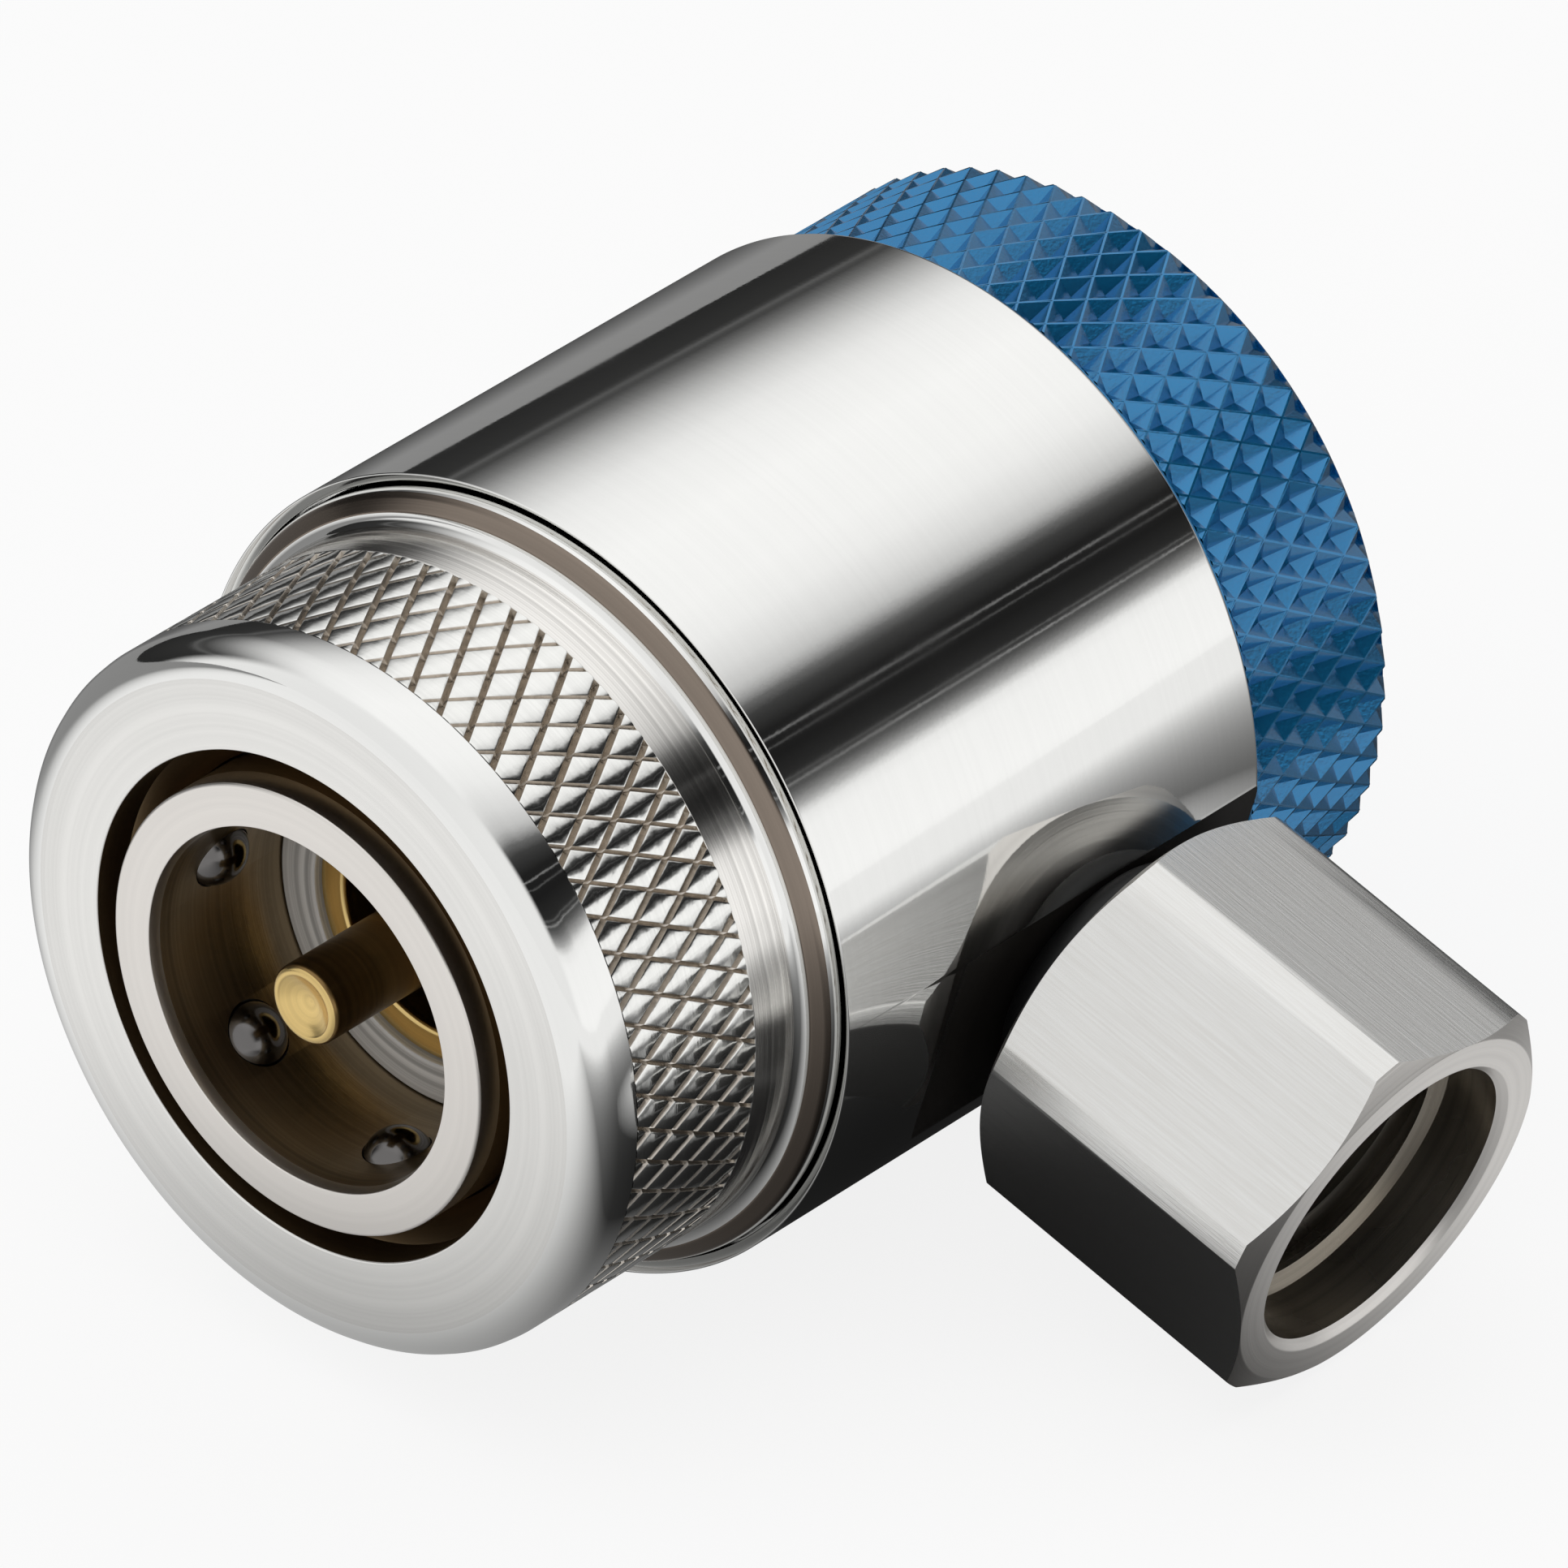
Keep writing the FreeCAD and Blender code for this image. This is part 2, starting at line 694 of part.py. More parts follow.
bored_along(fitting, port_at, [
    (hex_end, ZERO),
    (hex_end, half("entry_dia")),
    (hex_end - size("entry_chamfer"), half("entry_dia") - size("entry_chamfer")),
    (counter_end, half("entry_dia") - size("entry_chamfer")),
    (thread_in, half("hose_thread_dia")),
    (thread_end, half("hose_thread_dia")),
    (thread_end, gasket_seat),
    (gasket_end, gasket_seat),
    (gasket_end, half("passage_dia")),
    (stub_at, half("passage_dia")),
    (stub_at, ZERO),
], "bore")
nodes["port_fitting"] = fitting


def port_place(item, along):
    """Put a round Part primitive on the hose port's axis at a distance along it."""
    turn = size("rest_angle")
    spot = (along * cosine(turn), port_at, along * sine(turn) * -1)
    item.Placement = FreeCAD.Placement(
        FreeCAD.Vector(*[part.value for part in spot]),
        FreeCAD.Rotation(FreeCAD.Vector(0, 1, 0), 90 + turn.value))
    for axis, part in zip("xyz", spot):
        item.setExpression("Placement.Base.%s" % axis, part.text)
    item.setExpression("Placement.Rotation.Angle", "(90 + %s) * 1 deg" % turn.text)


# Ring seal under the hexagon, and the flat gasket at the bottom of the hose thread
gap_under = hex_at - spot_at
under = doc.addObject("Part::Torus", "fitting_seal")
under.Label = "fitting_seal"
under_thick = gap_under / 2 - size("ball_gap") / 2
under.Radius2 = under_thick.value
under.setExpression("Radius2", under_thick.text)
under_coil = half("neck_dia") + gap_under / 2
under.Radius1 = under_coil.value
under.setExpression("Radius1", under_coil.text)
port_place(under, spot_at + gap_under / 2)
nodes["fitting_seal"] = under

gasket_disc = doc.addObject("Part::Cylinder", "gasket_disc")
gasket_hole = doc.addObject("Part::Cylinder", "gasket_hole")
for item, radius in ((gasket_disc, gasket_seat - size("thread_gap")),
                     (gasket_hole, half("passage_dia") + size("gasket_gap"))):
    item.Radius = radius.value
    item.setExpression("Radius", radius.text)
    item.Height = size("gasket_thick").value
    item.setExpression("Height", size("gasket_thick").text)
    port_place(item, gasket_end)
gasket = doc.addObject("Part::Cut", "hose_gasket")
gasket.Label = "hose_gasket"
gasket.Base = gasket_disc
gasket.Tool = gasket_hole
nodes["hose_gasket"] = gasket

# Gland at the rear: packing washer, stem seal and the nut that the spindle screws through
nut_front = gland_at + size("packing_thick")
packing_bore = half("spindle_dia") + size("packing_gap")
gland_end = barrel_rear - size("gland_drop")
packing = new_body("packing_washer")
turned(packing, [
    (packing_bore, gland_at),
    (half("gland_dia"), gland_at),
    (half("gland_dia"), nut_front),
    (packing_bore, nut_front),
])
nodes["packing_washer"] = packing

pocket_end = nut_front + size("gland_pocket_long")
nut_bore = half("spindle_dia") + size("spindle_gap")
pocket_radius = half("spindle_dia") + size("stem_seal_thick") + size("pocket_gap")
nut = new_body("gland_nut")
turned(nut, [
    (pocket_radius, nut_front),
    (half("gland_dia"), nut_front),
    (half("gland_dia"), gland_end),
    (nut_bore, gland_end),
    (nut_bore, pocket_end),
    (pocket_radius, pocket_end),
])
pins = new_sketch(nut, "gland_nut_spanner_circle", "XZ_Plane")
pins.AttachmentOffset = FreeCAD.Placement(
    FreeCAD.Vector(0, 0, -gland_end.value), FreeCAD.Rotation())
pins.setExpression("AttachmentOffset.Base.z", "-1 * " + gland_end.text)
pin_circle = Part.Circle(
    FreeCAD.Vector(half("spanner_circle_dia").value, 0, 0), FreeCAD.Vector(0, 0, 1),
    half("spanner_hole_dia").value)
pin_hole = pins.addGeometry(pin_circle, False)
place(pins, pin_hole, 3, half("spanner_circle_dia"), ZERO)
index = pins.addConstraint(Sketcher.Constraint("Radius", pin_hole, half("spanner_hole_dia").value))
pins.setExpression("Constraints[%d]" % index, half("spanner_hole_dia").text)
drill = nut.newObject("PartDesign::Pocket", "gland_nut_spanner_hole")
drill.Profile = pins
drill.Length = size("spanner_hole_deep").value
drill.setExpression("Length", size("spanner_hole_deep").text)
drill.Reversed = True
before = nut.Shape.Volume
doc.recompute()
if not nut.Shape.Volume < before - 0.5:
    drill.Reversed = False
    doc.recompute()
pair = nut.newObject("PartDesign::PolarPattern", "gland_nut_spanner_holes")
pair.Originals = [drill]
pair.Axis = (origin_plane(nut, "Y_Axis"), [""])
pair.Angle = 360
pair.Occurrences = 2
nut.Tip = pair
doc.recompute()
nodes["gland_nut"] = nut

ring_seal("stem_seal", pocket_radius - size("stem_seal_thick") / 2 - size("ball_gap"),
          size("stem_seal_thick"), nut_front + size("stem_seal_thick") / 2)

# Depressor pin with a dished tip, swivelling in the end of the spindle
spindle_front = nose_seat + size("spindle_behind")
socket_radius = half("spindle_dia") - size("spindle_wall")
pin_head_at = spindle_front + size("pin_head_in")
pin_end = pin_head_at + size("pin_head_long")
head_radius = socket_radius - size("pin_head_gap")
pin = new_body("depressor_pin")
turned(pin, [
    (ZERO, size("pin_tip") + size("pin_dish_deep")),
    (half("pin_dish_dia"), size("pin_tip")),
    (half("pin_tip_dia"), size("pin_tip")),
    (half("pin_dia"), size("pin_tip") + size("pin_tip_chamfer")),
    (half("pin_dia"), pin_head_at),
    (head_radius, pin_head_at),
    (head_radius, pin_end),
    (ZERO, pin_end),
])
nodes["depressor_pin"] = pin

retainer_rear = pin_head_at - size("pin_play")
retainer_bore = half("pin_dia") + size("retainer_gap")
retainer = new_body("pin_retainer")
turned(retainer, [
    (retainer_bore, retainer_rear - size("retainer_thick")),
    (socket_radius - size("ball_gap"), retainer_rear - size("retainer_thick")),
    (socket_radius - size("ball_gap"), retainer_rear),
    (retainer_bore, retainer_rear),
])
nodes["pin_retainer"] = retainer


def square_sketch(body, name, across, y):
    """A square about the body axis, on a plane square to Y."""
    sketch = new_sketch(body, name, "XZ_Plane")
    sketch.AttachmentOffset = FreeCAD.Placement(FreeCAD.Vector(0, 0, -y.value), FreeCAD.Rotation())
    sketch.setExpression("AttachmentOffset.Base.z", "-1 * " + y.text)
    side = across / 2
    minus = side * -1
    outline(sketch, [(side, side), (minus, side), (minus, minus), (side, minus)])
    return sketch


# Spindle: threaded stem with a socket for the pin and a square for the wheel
socket_end = pin_end + size("pin_play")
square_end = shoulder_at + size("square_long")
hole_end = square_end - size("screw_hole_long")
screw_hole = half("screw_dia") + size("screw_gap")
spindle = new_body("spindle")
turned(spindle, [
    (ZERO, socket_end),
    (socket_radius, socket_end),
    (socket_radius, spindle_front),
    (half("spindle_dia") - size("spindle_chamfer"), spindle_front),
    (half("spindle_dia"), spindle_front + size("spindle_chamfer")),
    (half("spindle_dia"), shoulder_at),
    (ZERO, shoulder_at),
])
square = square_sketch(spindle, "spindle_square", size("square_across"), shoulder_at)
tang = spindle.newObject("PartDesign::Pad", "spindle_tang")
tang.Profile = square
tang.Length = size("square_long").value
tang.setExpression("Length", size("square_long").text)
tang.Reversed = True
doc.recompute()
if spindle.Shape.BoundBox.YMax < square_end.value - 0.01:
    tang.Reversed = False
    doc.recompute()
tap = new_sketch(spindle, "spindle_screw_hole_outline")
outline(tap, [
    (ZERO, hole_end),
    (screw_hole, hole_end),
    (screw_hole, square_end),
    (ZERO, square_end),
])
tapped = spindle.newObject("PartDesign::Groove", "spindle_screw_hole")
tapped.Profile = tap
tapped.ReferenceAxis = (tap, ["V_Axis"])
tapped.Angle = 360
before = spindle.Shape.Volume
doc.recompute()
if not spindle.Shape.Volume < before - 1:
    raise RuntimeError("screw hole not cut")
nodes["spindle"] = spindle

# Hand wheel with its washer and screw
web_rear = shoulder_at + size("wheel_web")
wheel_rear = wheel_front + size("wheel_long")
wheel_radius = half("wheel_dia")
front_recess = wheel_radius - size("wheel_front_rim")
rear_recess = wheel_radius - size("wheel_rear_rim")
recess_floor = wheel_rear - size("wheel_rear_deep")
counter_radius = half("wheel_washer_dia") + size("wheel_counter_room")
wheel = new_body("hand_wheel_blank")
turned(wheel, [
    (ZERO, shoulder_at),
    (front_recess, shoulder_at),
    (front_recess, wheel_front),
    (wheel_radius - size("wheel_front_break"), wheel_front),
    (wheel_radius, wheel_front + size("wheel_front_break")),
    (wheel_radius, wheel_rear - size("wheel_chamfer")),
    (wheel_radius - size("wheel_chamfer"), wheel_rear),
    (rear_recess, wheel_rear),
    (rear_recess - size("wheel_rear_draft"), recess_floor),
    (counter_radius, recess_floor),
    (counter_radius, web_rear),
    (ZERO, web_rear),
])
hub = square_sketch(wheel, "hand_wheel_square",
                    size("square_across") + size("square_gap") * 2, shoulder_at)
broach = wheel.newObject("PartDesign::Pocket", "hand_wheel_broach")
broach.Profile = hub
broach.Length = size("wheel_web").value
broach.setExpression("Length", size("wheel_web").text)
broach.Reversed = False
before = wheel.Shape.Volume
doc.recompute()
if not wheel.Shape.Volume < before - 1:
    broach.Reversed = True
    doc.recompute()
if not wheel.Shape.Volume < before - 1:
    raise RuntimeError("square not cut in the hand wheel")

# The wheel's knurl: rows of diamond pits round the rim, every second row half a pit further round.
# A pit is a four-sided pyramid whose mouth stands just proud of the rim. Thin ridges stay between
# the pits, and the first and last rows run off the edges of the rim.
pit_rise = half("pit_tall").value
pit_reach = wheel_radius.value * math.pi / size("pit_count").value
pit_edge = math.hypot(pit_rise, pit_reach)
rise = pit_rise - half("pit_ridge").value * pit_edge / pit_reach
reach = pit_reach - half("pit_ridge").value * pit_edge / pit_rise
pit_mouth = wheel_radius.value + size("pit_proud").value
corners = [
    FreeCAD.Vector(pit_mouth, -rise, 0),
    FreeCAD.Vector(pit_mouth, 0, reach),
    FreeCAD.Vector(pit_mouth, rise, 0),
    FreeCAD.Vector(pit_mouth, 0, -reach),
]
tip = FreeCAD.Vector(wheel_radius.value - size("pit_deep").value, 0, 0)
sides = [Part.Face(Part.makePolygon(corners + corners[:1]))]
for one, other in zip(corners, corners[1:] + corners[:1]):
    sides.append(Part.Face(Part.makePolygon([one, other, tip, one])))
pit = Part.Solid(Part.Shell(sides))
pit_step = 360 / size("pit_count").value
pits = []
for row in range(int(size("pit_rows").value)):
    up = wheel_front.value + size("pit_lead").value + pit_rise * row
    aside = (row + 1) % 2 / 2
    for turn in range(int(size("pit_count").value)):
        spin = FreeCAD.Rotation(FreeCAD.Vector(0, 1, 0), pit_step * (turn + aside))
        moved = FreeCAD.Placement(FreeCAD.Vector(0, up, 0), spin)
        pits.append(pit.transformed(moved.toMatrix()))
press = doc.addObject("Part::Feature", "hand_wheel_pits")
press.Shape = Part.Compound(pits)
press.Placement = wheel.Placement
knurled = doc.addObject("Part::Cut", "hand_wheel")
knurled.Label = "hand_wheel"
knurled.Base = wheel
knurled.Tool = press
doc.recompute()
if not knurled.Shape.Volume < wheel.Shape.Volume - 10:
    raise RuntimeError("no pits in the hand wheel")
nodes["hand_wheel"] = knurled

head_at = web_rear + size("wheel_washer_thick")
wheel_washer_bore = half("screw_dia") + size("wheel_washer_gap")
wheel_washer = new_body("wheel_washer")
turned(wheel_washer, [
    (wheel_washer_bore, web_rear),
    (half("wheel_washer_dia"), web_rear),
    (half("wheel_washer_dia"), head_at),
    (wheel_washer_bore, head_at),
])
nodes["wheel_washer"] = wheel_washer

head_top = head_at + size("screw_head_high")
screw = new_body("wheel_screw")
turned(screw, [
    (ZERO, head_at - size("screw_long")),
    (half("screw_dia") - size("screw_lead"), head_at - size("screw_long")),
    (half("screw_dia"), head_at - size("screw_long") + size("screw_lead")),
    (half("screw_dia"), head_at),
    (half("screw_head_dia"), head_at),
    (half("screw_head_dia"), head_top - size("screw_head_chamfer")),
    (half("screw_head_dia") - size("screw_head_chamfer"), head_top),
    (ZERO, head_top),
])
key = new_sketch(screw, "wheel_screw_key", "XZ_Plane")
key.AttachmentOffset = FreeCAD.Placement(FreeCAD.Vector(0, 0, -head_top.value), FreeCAD.Rotation())
key.setExpression("AttachmentOffset.Base.z", "-1 * " + head_top.text)
reach = size("screw_key") / math.sqrt(3)
key_points = []
for k in range(6):
    angle = math.radians(60 * k)
    key_points.append((reach * math.cos(angle), reach * math.sin(angle)))
outline(key, key_points)
drive = screw.newObject("PartDesign::Pocket", "wheel_screw_drive")
drive.Profile = key
drive.Length = size("screw_key_deep").value
drive.setExpression("Length", size("screw_key_deep").text)
drive.Reversed = True
before = screw.Shape.Volume
doc.recompute()
if not screw.Shape.Volume < before - 0.5:
    drive.Reversed = False
    doc.recompute()
if not screw.Shape.Volume < before - 0.5:
    raise RuntimeError("screw drive not cut")
nodes["wheel_screw"] = screw

# Check everything, then write one file for each piece
doc.recompute()
for item in doc.Objects:
    if "Invalid" in item.State or "Error" in item.State:
        raise RuntimeError("%s failed: %s" % (item.Name, item.State))
for label, item in nodes.items():
    shape = item.Shape
    if shape.isNull() or not shape.isValid() or shape.Volume <= 0:
        raise RuntimeError("bad shape for " + label)
    if item.Label != label:
        raise RuntimeError("label differs for " + label)
for label, item in nodes.items():
    item.Shape.exportStep(os.path.join("parts", label + ".step"))
    box = item.Shape.BoundBox
    print("%-15s solids %d volume %9.2f  x %7.2f %7.2f  y %7.2f %7.2f  z %7.2f %7.2f" % (
        label, len(item.Shape.Solids), item.Shape.Volume,
        box.XMin, box.XMax, box.YMin, box.YMax, box.ZMin, box.ZMax))
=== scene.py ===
# %% [markdown]
# Refrigerant hose coupler, dressed for its photograph. The coupler is a turned brass body with a
# nickel plate: a ball-lock socket in front, a hexagon hose port in the side and a blue hand wheel
# behind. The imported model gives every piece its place; this file gives the pieces their smooth
# skins, knurls and finishes. All lengths below are in millimetres until a piece is finished.

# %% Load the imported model
import math

import bmesh
import bpy
from mathutils import Matrix, Vector


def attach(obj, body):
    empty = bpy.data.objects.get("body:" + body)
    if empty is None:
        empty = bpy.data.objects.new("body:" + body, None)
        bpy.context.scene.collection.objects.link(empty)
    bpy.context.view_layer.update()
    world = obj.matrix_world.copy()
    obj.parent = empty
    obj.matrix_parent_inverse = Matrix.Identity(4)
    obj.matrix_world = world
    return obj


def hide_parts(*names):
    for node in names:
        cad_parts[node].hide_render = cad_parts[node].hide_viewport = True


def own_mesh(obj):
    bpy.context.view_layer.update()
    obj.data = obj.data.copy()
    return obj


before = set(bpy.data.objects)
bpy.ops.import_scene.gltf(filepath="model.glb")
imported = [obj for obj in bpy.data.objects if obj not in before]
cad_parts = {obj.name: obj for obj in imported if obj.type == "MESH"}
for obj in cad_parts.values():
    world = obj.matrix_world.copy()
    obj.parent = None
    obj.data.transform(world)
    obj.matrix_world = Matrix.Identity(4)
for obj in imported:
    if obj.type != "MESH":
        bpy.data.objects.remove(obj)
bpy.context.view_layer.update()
MM = 0.001

# %% [markdown]
# The camera repeats the photograph's: a long lens far away, so that the barrel hardly narrows
# towards the back. Its matrix is set straight from the three directions that were worked out from
# the photograph's circles and straight edges, because the picture has a small roll that a
# look-at rule would lose.


# %% Camera
def new_object(name, data):
    """An object for a camera or a mesh, linked into the scene."""
    thing = bpy.data.objects.new(name, data)
    bpy.context.scene.collection.objects.link(thing)
    return thing


camera_data = bpy.data.cameras.new("photo_camera")
camera_data.sensor_width = 36.0
camera_data.lens = 500.83
camera_data.clip_start = 0.01
camera_data.clip_end = 20.0
camera = new_object("photo_camera", camera_data)
camera_right = Vector((0.7463, 0.6653, 0.0242))
camera_up = Vector((-0.3838, 0.4003, 0.8322))
camera_back = Vector((0.5439, -0.6302, 0.5541))
camera_place = Vector((399.6, -438.8, 404.4)) * MM
camera_turn = Matrix((camera_right, camera_up, camera_back)).transposed()
camera.matrix_world = Matrix.Translation(camera_place) @ camera_turn.to_4x4()
bpy.context.scene.camera = camera
bpy.context.scene.view_settings.view_transform = "Standard"
print("camera at", [round(part, 3) for part in camera.location])

# %% [markdown]
# Every finish is a small tree of nodes on the Principled shader. One function adds a node, sets
# its options and links its inputs, so that each finish below reads as a list of what it is made
# of. Colours are written as sRGB hex, as a paint program shows them, and are turned to linear.


# %% Colour and node helpers
def linear(hex_colour):
    """An sRGB hex colour as linear red, green, blue and full alpha."""
    channels = []
    for start in (1, 3, 5):
        part = int(hex_colour[start:start + 2], 16) / 255
        channels.append(part / 12.92 if part <= 0.04045 else ((part + 0.055) / 1.055) ** 2.4)
    return (*channels, 1.0)


def add_node(tree, kind, inputs=None, **settings):
    """One node with its settings; an input is a value or the socket that feeds it."""
    node = tree.nodes.new(kind)
    for name, value in settings.items():
        setattr(node, name, value)
    for name, value in (inputs or {}).items():
        if isinstance(value, bpy.types.NodeSocket):
            tree.links.new(value, node.inputs[name])
        else:
            node.inputs[name].default_value = value
    return node


def new_finish(name):
    """An empty material with its tree, its Principled shader and the piece's own coordinates."""
    finish = bpy.data.materials.new(name)
    finish.use_nodes = True
    tree = finish.node_tree
    tree.nodes.clear()
    shader = add_node(tree, "ShaderNodeBsdfPrincipled")
    add_node(tree, "ShaderNodeOutputMaterial", {"Surface": shader.outputs[0]})
    where = add_node(tree, "ShaderNodeTexCoord").outputs["Object"]
    return finish, tree, shader, where


# %% [markdown]
# The coupler lies on its barrel and on one corner of the hexagon, so the hose port leaves the
# barrel's side a little downhill. Everything on the port is turned about this one axis, and so are
# the rings in its finishes. That is why the axis comes before the finishes.

# %% Axis of the hose port
PORT_TURN = math.radians(15.25)
PORT_AXIS = Vector((math.cos(PORT_TURN), 0.0, -math.sin(PORT_TURN)))
PORT_UP = Vector((math.sin(PORT_TURN), 0.0, math.cos(PORT_TURN)))
PORT_CENTRE = Vector((0.0, 24.37, 0.0))
print("port axis", [round(part, 4) for part in PORT_AXIS])

# %% [markdown]
# The plated brass was turned in a lathe before it was plated, and the plate keeps the tool's
# rings. Rings are the same all round, so their height may depend only on the distance from the
# axis and on the place along it. A noise texture that is fed with just those two numbers gives
# rings on cylinders, cones and flat faces alike, and the same noise tints the metal a little,
# because dirt stays in the rings. A second noise is the grain of the plate, and a third, slow one
# makes the gloss uneven, as handling does. Fine rings also stretch a reflection across
# themselves: that is the shader's anisotropy, with its tangent set to run round the axis.
# For the faces that were turned about the hose port, a Mapping node first lays that axis on Y.
# Real rings are a few hundredths of a millimetre apart and the plate's grain is finer still. Both
# are too fine for the picture, so they are drawn as coarse as they need to show.


# %% Turned metal
MICRON = 1e-6
UNEVEN_GLOSS = 0.03
GLOSS_PATCH = 6


def turned_metal(name, colour, rough, ring_mm, ring_high, tint=0.04, grain_mm=0.10, grain_high=0.1,
                 swept=0.0, about_port=False, metallic=1.0, specular=0.5):
    """Metal with rings ring_mm wide and ring_high micrometres high, and with grain likewise."""
    finish, tree, shader, where = new_finish(name)
    if about_port:
        where = add_node(tree, "ShaderNodeMapping", {
            "Vector": where, "Location": PORT_CENTRE * MM,
            "Rotation": PORT_AXIS.to_track_quat("Y", "Z").to_euler()},
            vector_type="TEXTURE").outputs[0]
    parts = add_node(tree, "ShaderNodeSeparateXYZ", {0: where})
    flat = add_node(tree, "ShaderNodeCombineXYZ", {
        "X": parts.outputs["X"], "Z": parts.outputs["Z"]})
    radius = add_node(tree, "ShaderNodeVectorMath", {0: flat.outputs[0]}, operation="LENGTH")
    lathe = add_node(tree, "ShaderNodeCombineXYZ", {
        "X": radius.outputs["Value"], "Y": parts.outputs["Y"]})
    rings = add_node(tree, "ShaderNodeTexNoise", {
        "Vector": lathe.outputs[0], "Scale": 1 / (2 * ring_mm * MM), "Detail": 4.0,
        "Roughness": 0.65})
    ring_height = add_node(tree, "ShaderNodeBump", {
        "Height": rings.outputs["Fac"], "Distance": ring_high * MICRON, "Strength": 1.0})
    grain = add_node(tree, "ShaderNodeTexNoise", {
        "Vector": where, "Scale": 1 / (2 * grain_mm * MM), "Detail": 2.0})
    grain_height = add_node(tree, "ShaderNodeBump", {
        "Height": grain.outputs["Fac"], "Distance": grain_high * MICRON, "Strength": 1.0,
        "Normal": ring_height.outputs[0]})
    slow = add_node(tree, "ShaderNodeTexNoise", {
        "Vector": where, "Scale": 1 / (GLOSS_PATCH * MM), "Detail": 3.0})
    gloss = add_node(tree, "ShaderNodeMapRange", {
        "Value": slow.outputs["Fac"], "From Min": 0.3, "From Max": 0.7,
        "To Min": rough - UNEVEN_GLOSS, "To Max": rough + UNEVEN_GLOSS})
    streaks = add_node(tree, "ShaderNodeMapRange", {
        "Value": rings.outputs["Fac"], "From Min": 0.35, "From Max": 0.65})
    dark = [part * (1 - tint / 2) for part in linear(colour)[:3]]
    light = [min(part * (1 + tint / 2), 1.0) for part in linear(colour)[:3]]
    shade = add_node(tree, "ShaderNodeMix", {
        "Factor": streaks.outputs[0], "A": (*dark, 1.0), "B": (*light, 1.0)}, data_type="RGBA")
    shader.inputs["Metallic"].default_value = metallic
    shader.inputs["Specular IOR Level"].default_value = specular
    shader.inputs["Anisotropic"].default_value = swept
    tree.links.new(shade.outputs["Result"], shader.inputs["Base Color"])
    tree.links.new(gloss.outputs[0], shader.inputs["Roughness"])
    tree.links.new(grain_height.outputs[0], shader.inputs["Normal"])
    if swept:
        around = add_node(tree, "ShaderNodeTangent", direction_type="RADIAL", axis="Y")
        tree.links.new(around.outputs[0], shader.inputs["Tangent"])
    return finish


# %% [markdown]
# Each turned surface is now one call. The outside is nickel over brass, and what the eye tells
# apart is how rough the brass was left under the plate: a mirror on the barrel, a satin on the
# faces, rings to count on the fine-turned band, and rough grooves in the knurl, painted darker
# as shade.

# %% Nickel plate
# Bright nickel over finely turned brass: a soft mirror with a little grain round a reflection
barrel_nickel = turned_metal("bright_nickel_plate", "#E8E8E6", rough=0.05, ring_mm=0.12,
                             ring_high=0.6, tint=0.02, grain_mm=0.09, grain_high=0.35)
# The same plate on the sleeve's faces, where the sweep of the facing tool fans the light out
sleeve_nickel = turned_metal("nickel_plate_faced_sleeve", "#E3E2DF", rough=0.24, ring_mm=0.20,
                             ring_high=6.0, tint=0.10, swept=0.8)
# The plate over the knurl, where the rolls left small dents that make every diamond glint
knurl_nickel = turned_metal("nickel_plate_rolled_knurl", "#E6E6E3", rough=0.12, ring_mm=0.14,
                            ring_high=6.0, tint=0.10, grain_mm=0.20, grain_high=8.0)
# The grooves of the knurl: rough, and painted a dull, warm grey as the shade in the creases
painted_shade_groove = turned_metal("nickel_groove_painted_shade", "#CBC4BB", rough=0.26, ring_mm=0.20,
                             ring_high=4.0, tint=0.20)
# The plate over the fine-turned band behind the knurl, with rings that the eye can count
band_nickel = turned_metal("nickel_plate_fine_rings", "#DEDCD8", rough=0.14, ring_mm=0.10,
                           ring_high=9.0, tint=0.45)
# The sleeve's flange ring where it runs against the barrel, painted dark as the shade in that gap:
# a dark band that shines
painted_shade_flange = turned_metal("nickel_flange_painted_shade", "#82776D", rough=0.20, ring_mm=0.14,
                             ring_high=5.0, tint=0.20)
# Nickel on the socket's end face, faced in the lathe to a satin
nose_nickel = turned_metal("satin_nickel_face", "#DDD9D4", rough=0.30, ring_mm=0.16,
                           ring_high=3.0, tint=0.06, swept=0.5)
# The end of the hexagon, faced in the lathe: a grey satin with fine arcs
end_nickel = turned_metal("nickel_plate_faced_port", "#DCD9D5", rough=0.34, ring_mm=0.15,
                          ring_high=12.0, tint=0.10, about_port=True)
# The port's bore is turned and only thinly plated, so it is darker than the outside
bore_nickel = turned_metal("thin_nickel_turned_bore", "#B4AEA4", rough=0.28, ring_mm=0.18,
                           ring_high=9.0, tint=0.30, about_port=True)
print("plated finishes made")

# %% [markdown]
# Inside the socket the plate is thin or rubbed off, and the brass shows, gone brown. The small
# hardware is steel. On the washer in the socket a dull film hides the metal, and the flat under
# the hose fitting is painted nearly black, as painted shade under the hexagon, so these two get a
# low metallic share; the rest are full metals.

# %% Brass and steel
# The socket's bore is hardly plated, and its brass has gone brown
bore_brass = turned_metal("browned_brass_bore", "#93836A", rough=0.30, ring_mm=0.16,
                          ring_high=10.0, tint=0.50, grain_mm=0.30, grain_high=8.0)
# Between sleeve and nose the brass is painted darker still, as the shade in that narrow gap
gap_brass_painted_shade = turned_metal("brass_gap_painted_shade", "#857359", rough=0.36, ring_mm=0.30,
                           ring_high=4.0, tint=0.20, grain_mm=0.25, grain_high=3.0)
# Free-cutting brass, bright where the valve rubs the pin's tip and on the bush
yellow_brass = turned_metal("turned_yellow_brass", "#D6BA7C", rough=0.22, ring_mm=0.14,
                            ring_high=8.0, tint=0.20)
# The pin's side, of the same brass gone brown
brown_brass = turned_metal("browned_brass_pin", "#7C6440", rough=0.32, ring_mm=0.20,
                           ring_high=8.0, tint=0.40, grain_mm=0.30, grain_high=8.0)
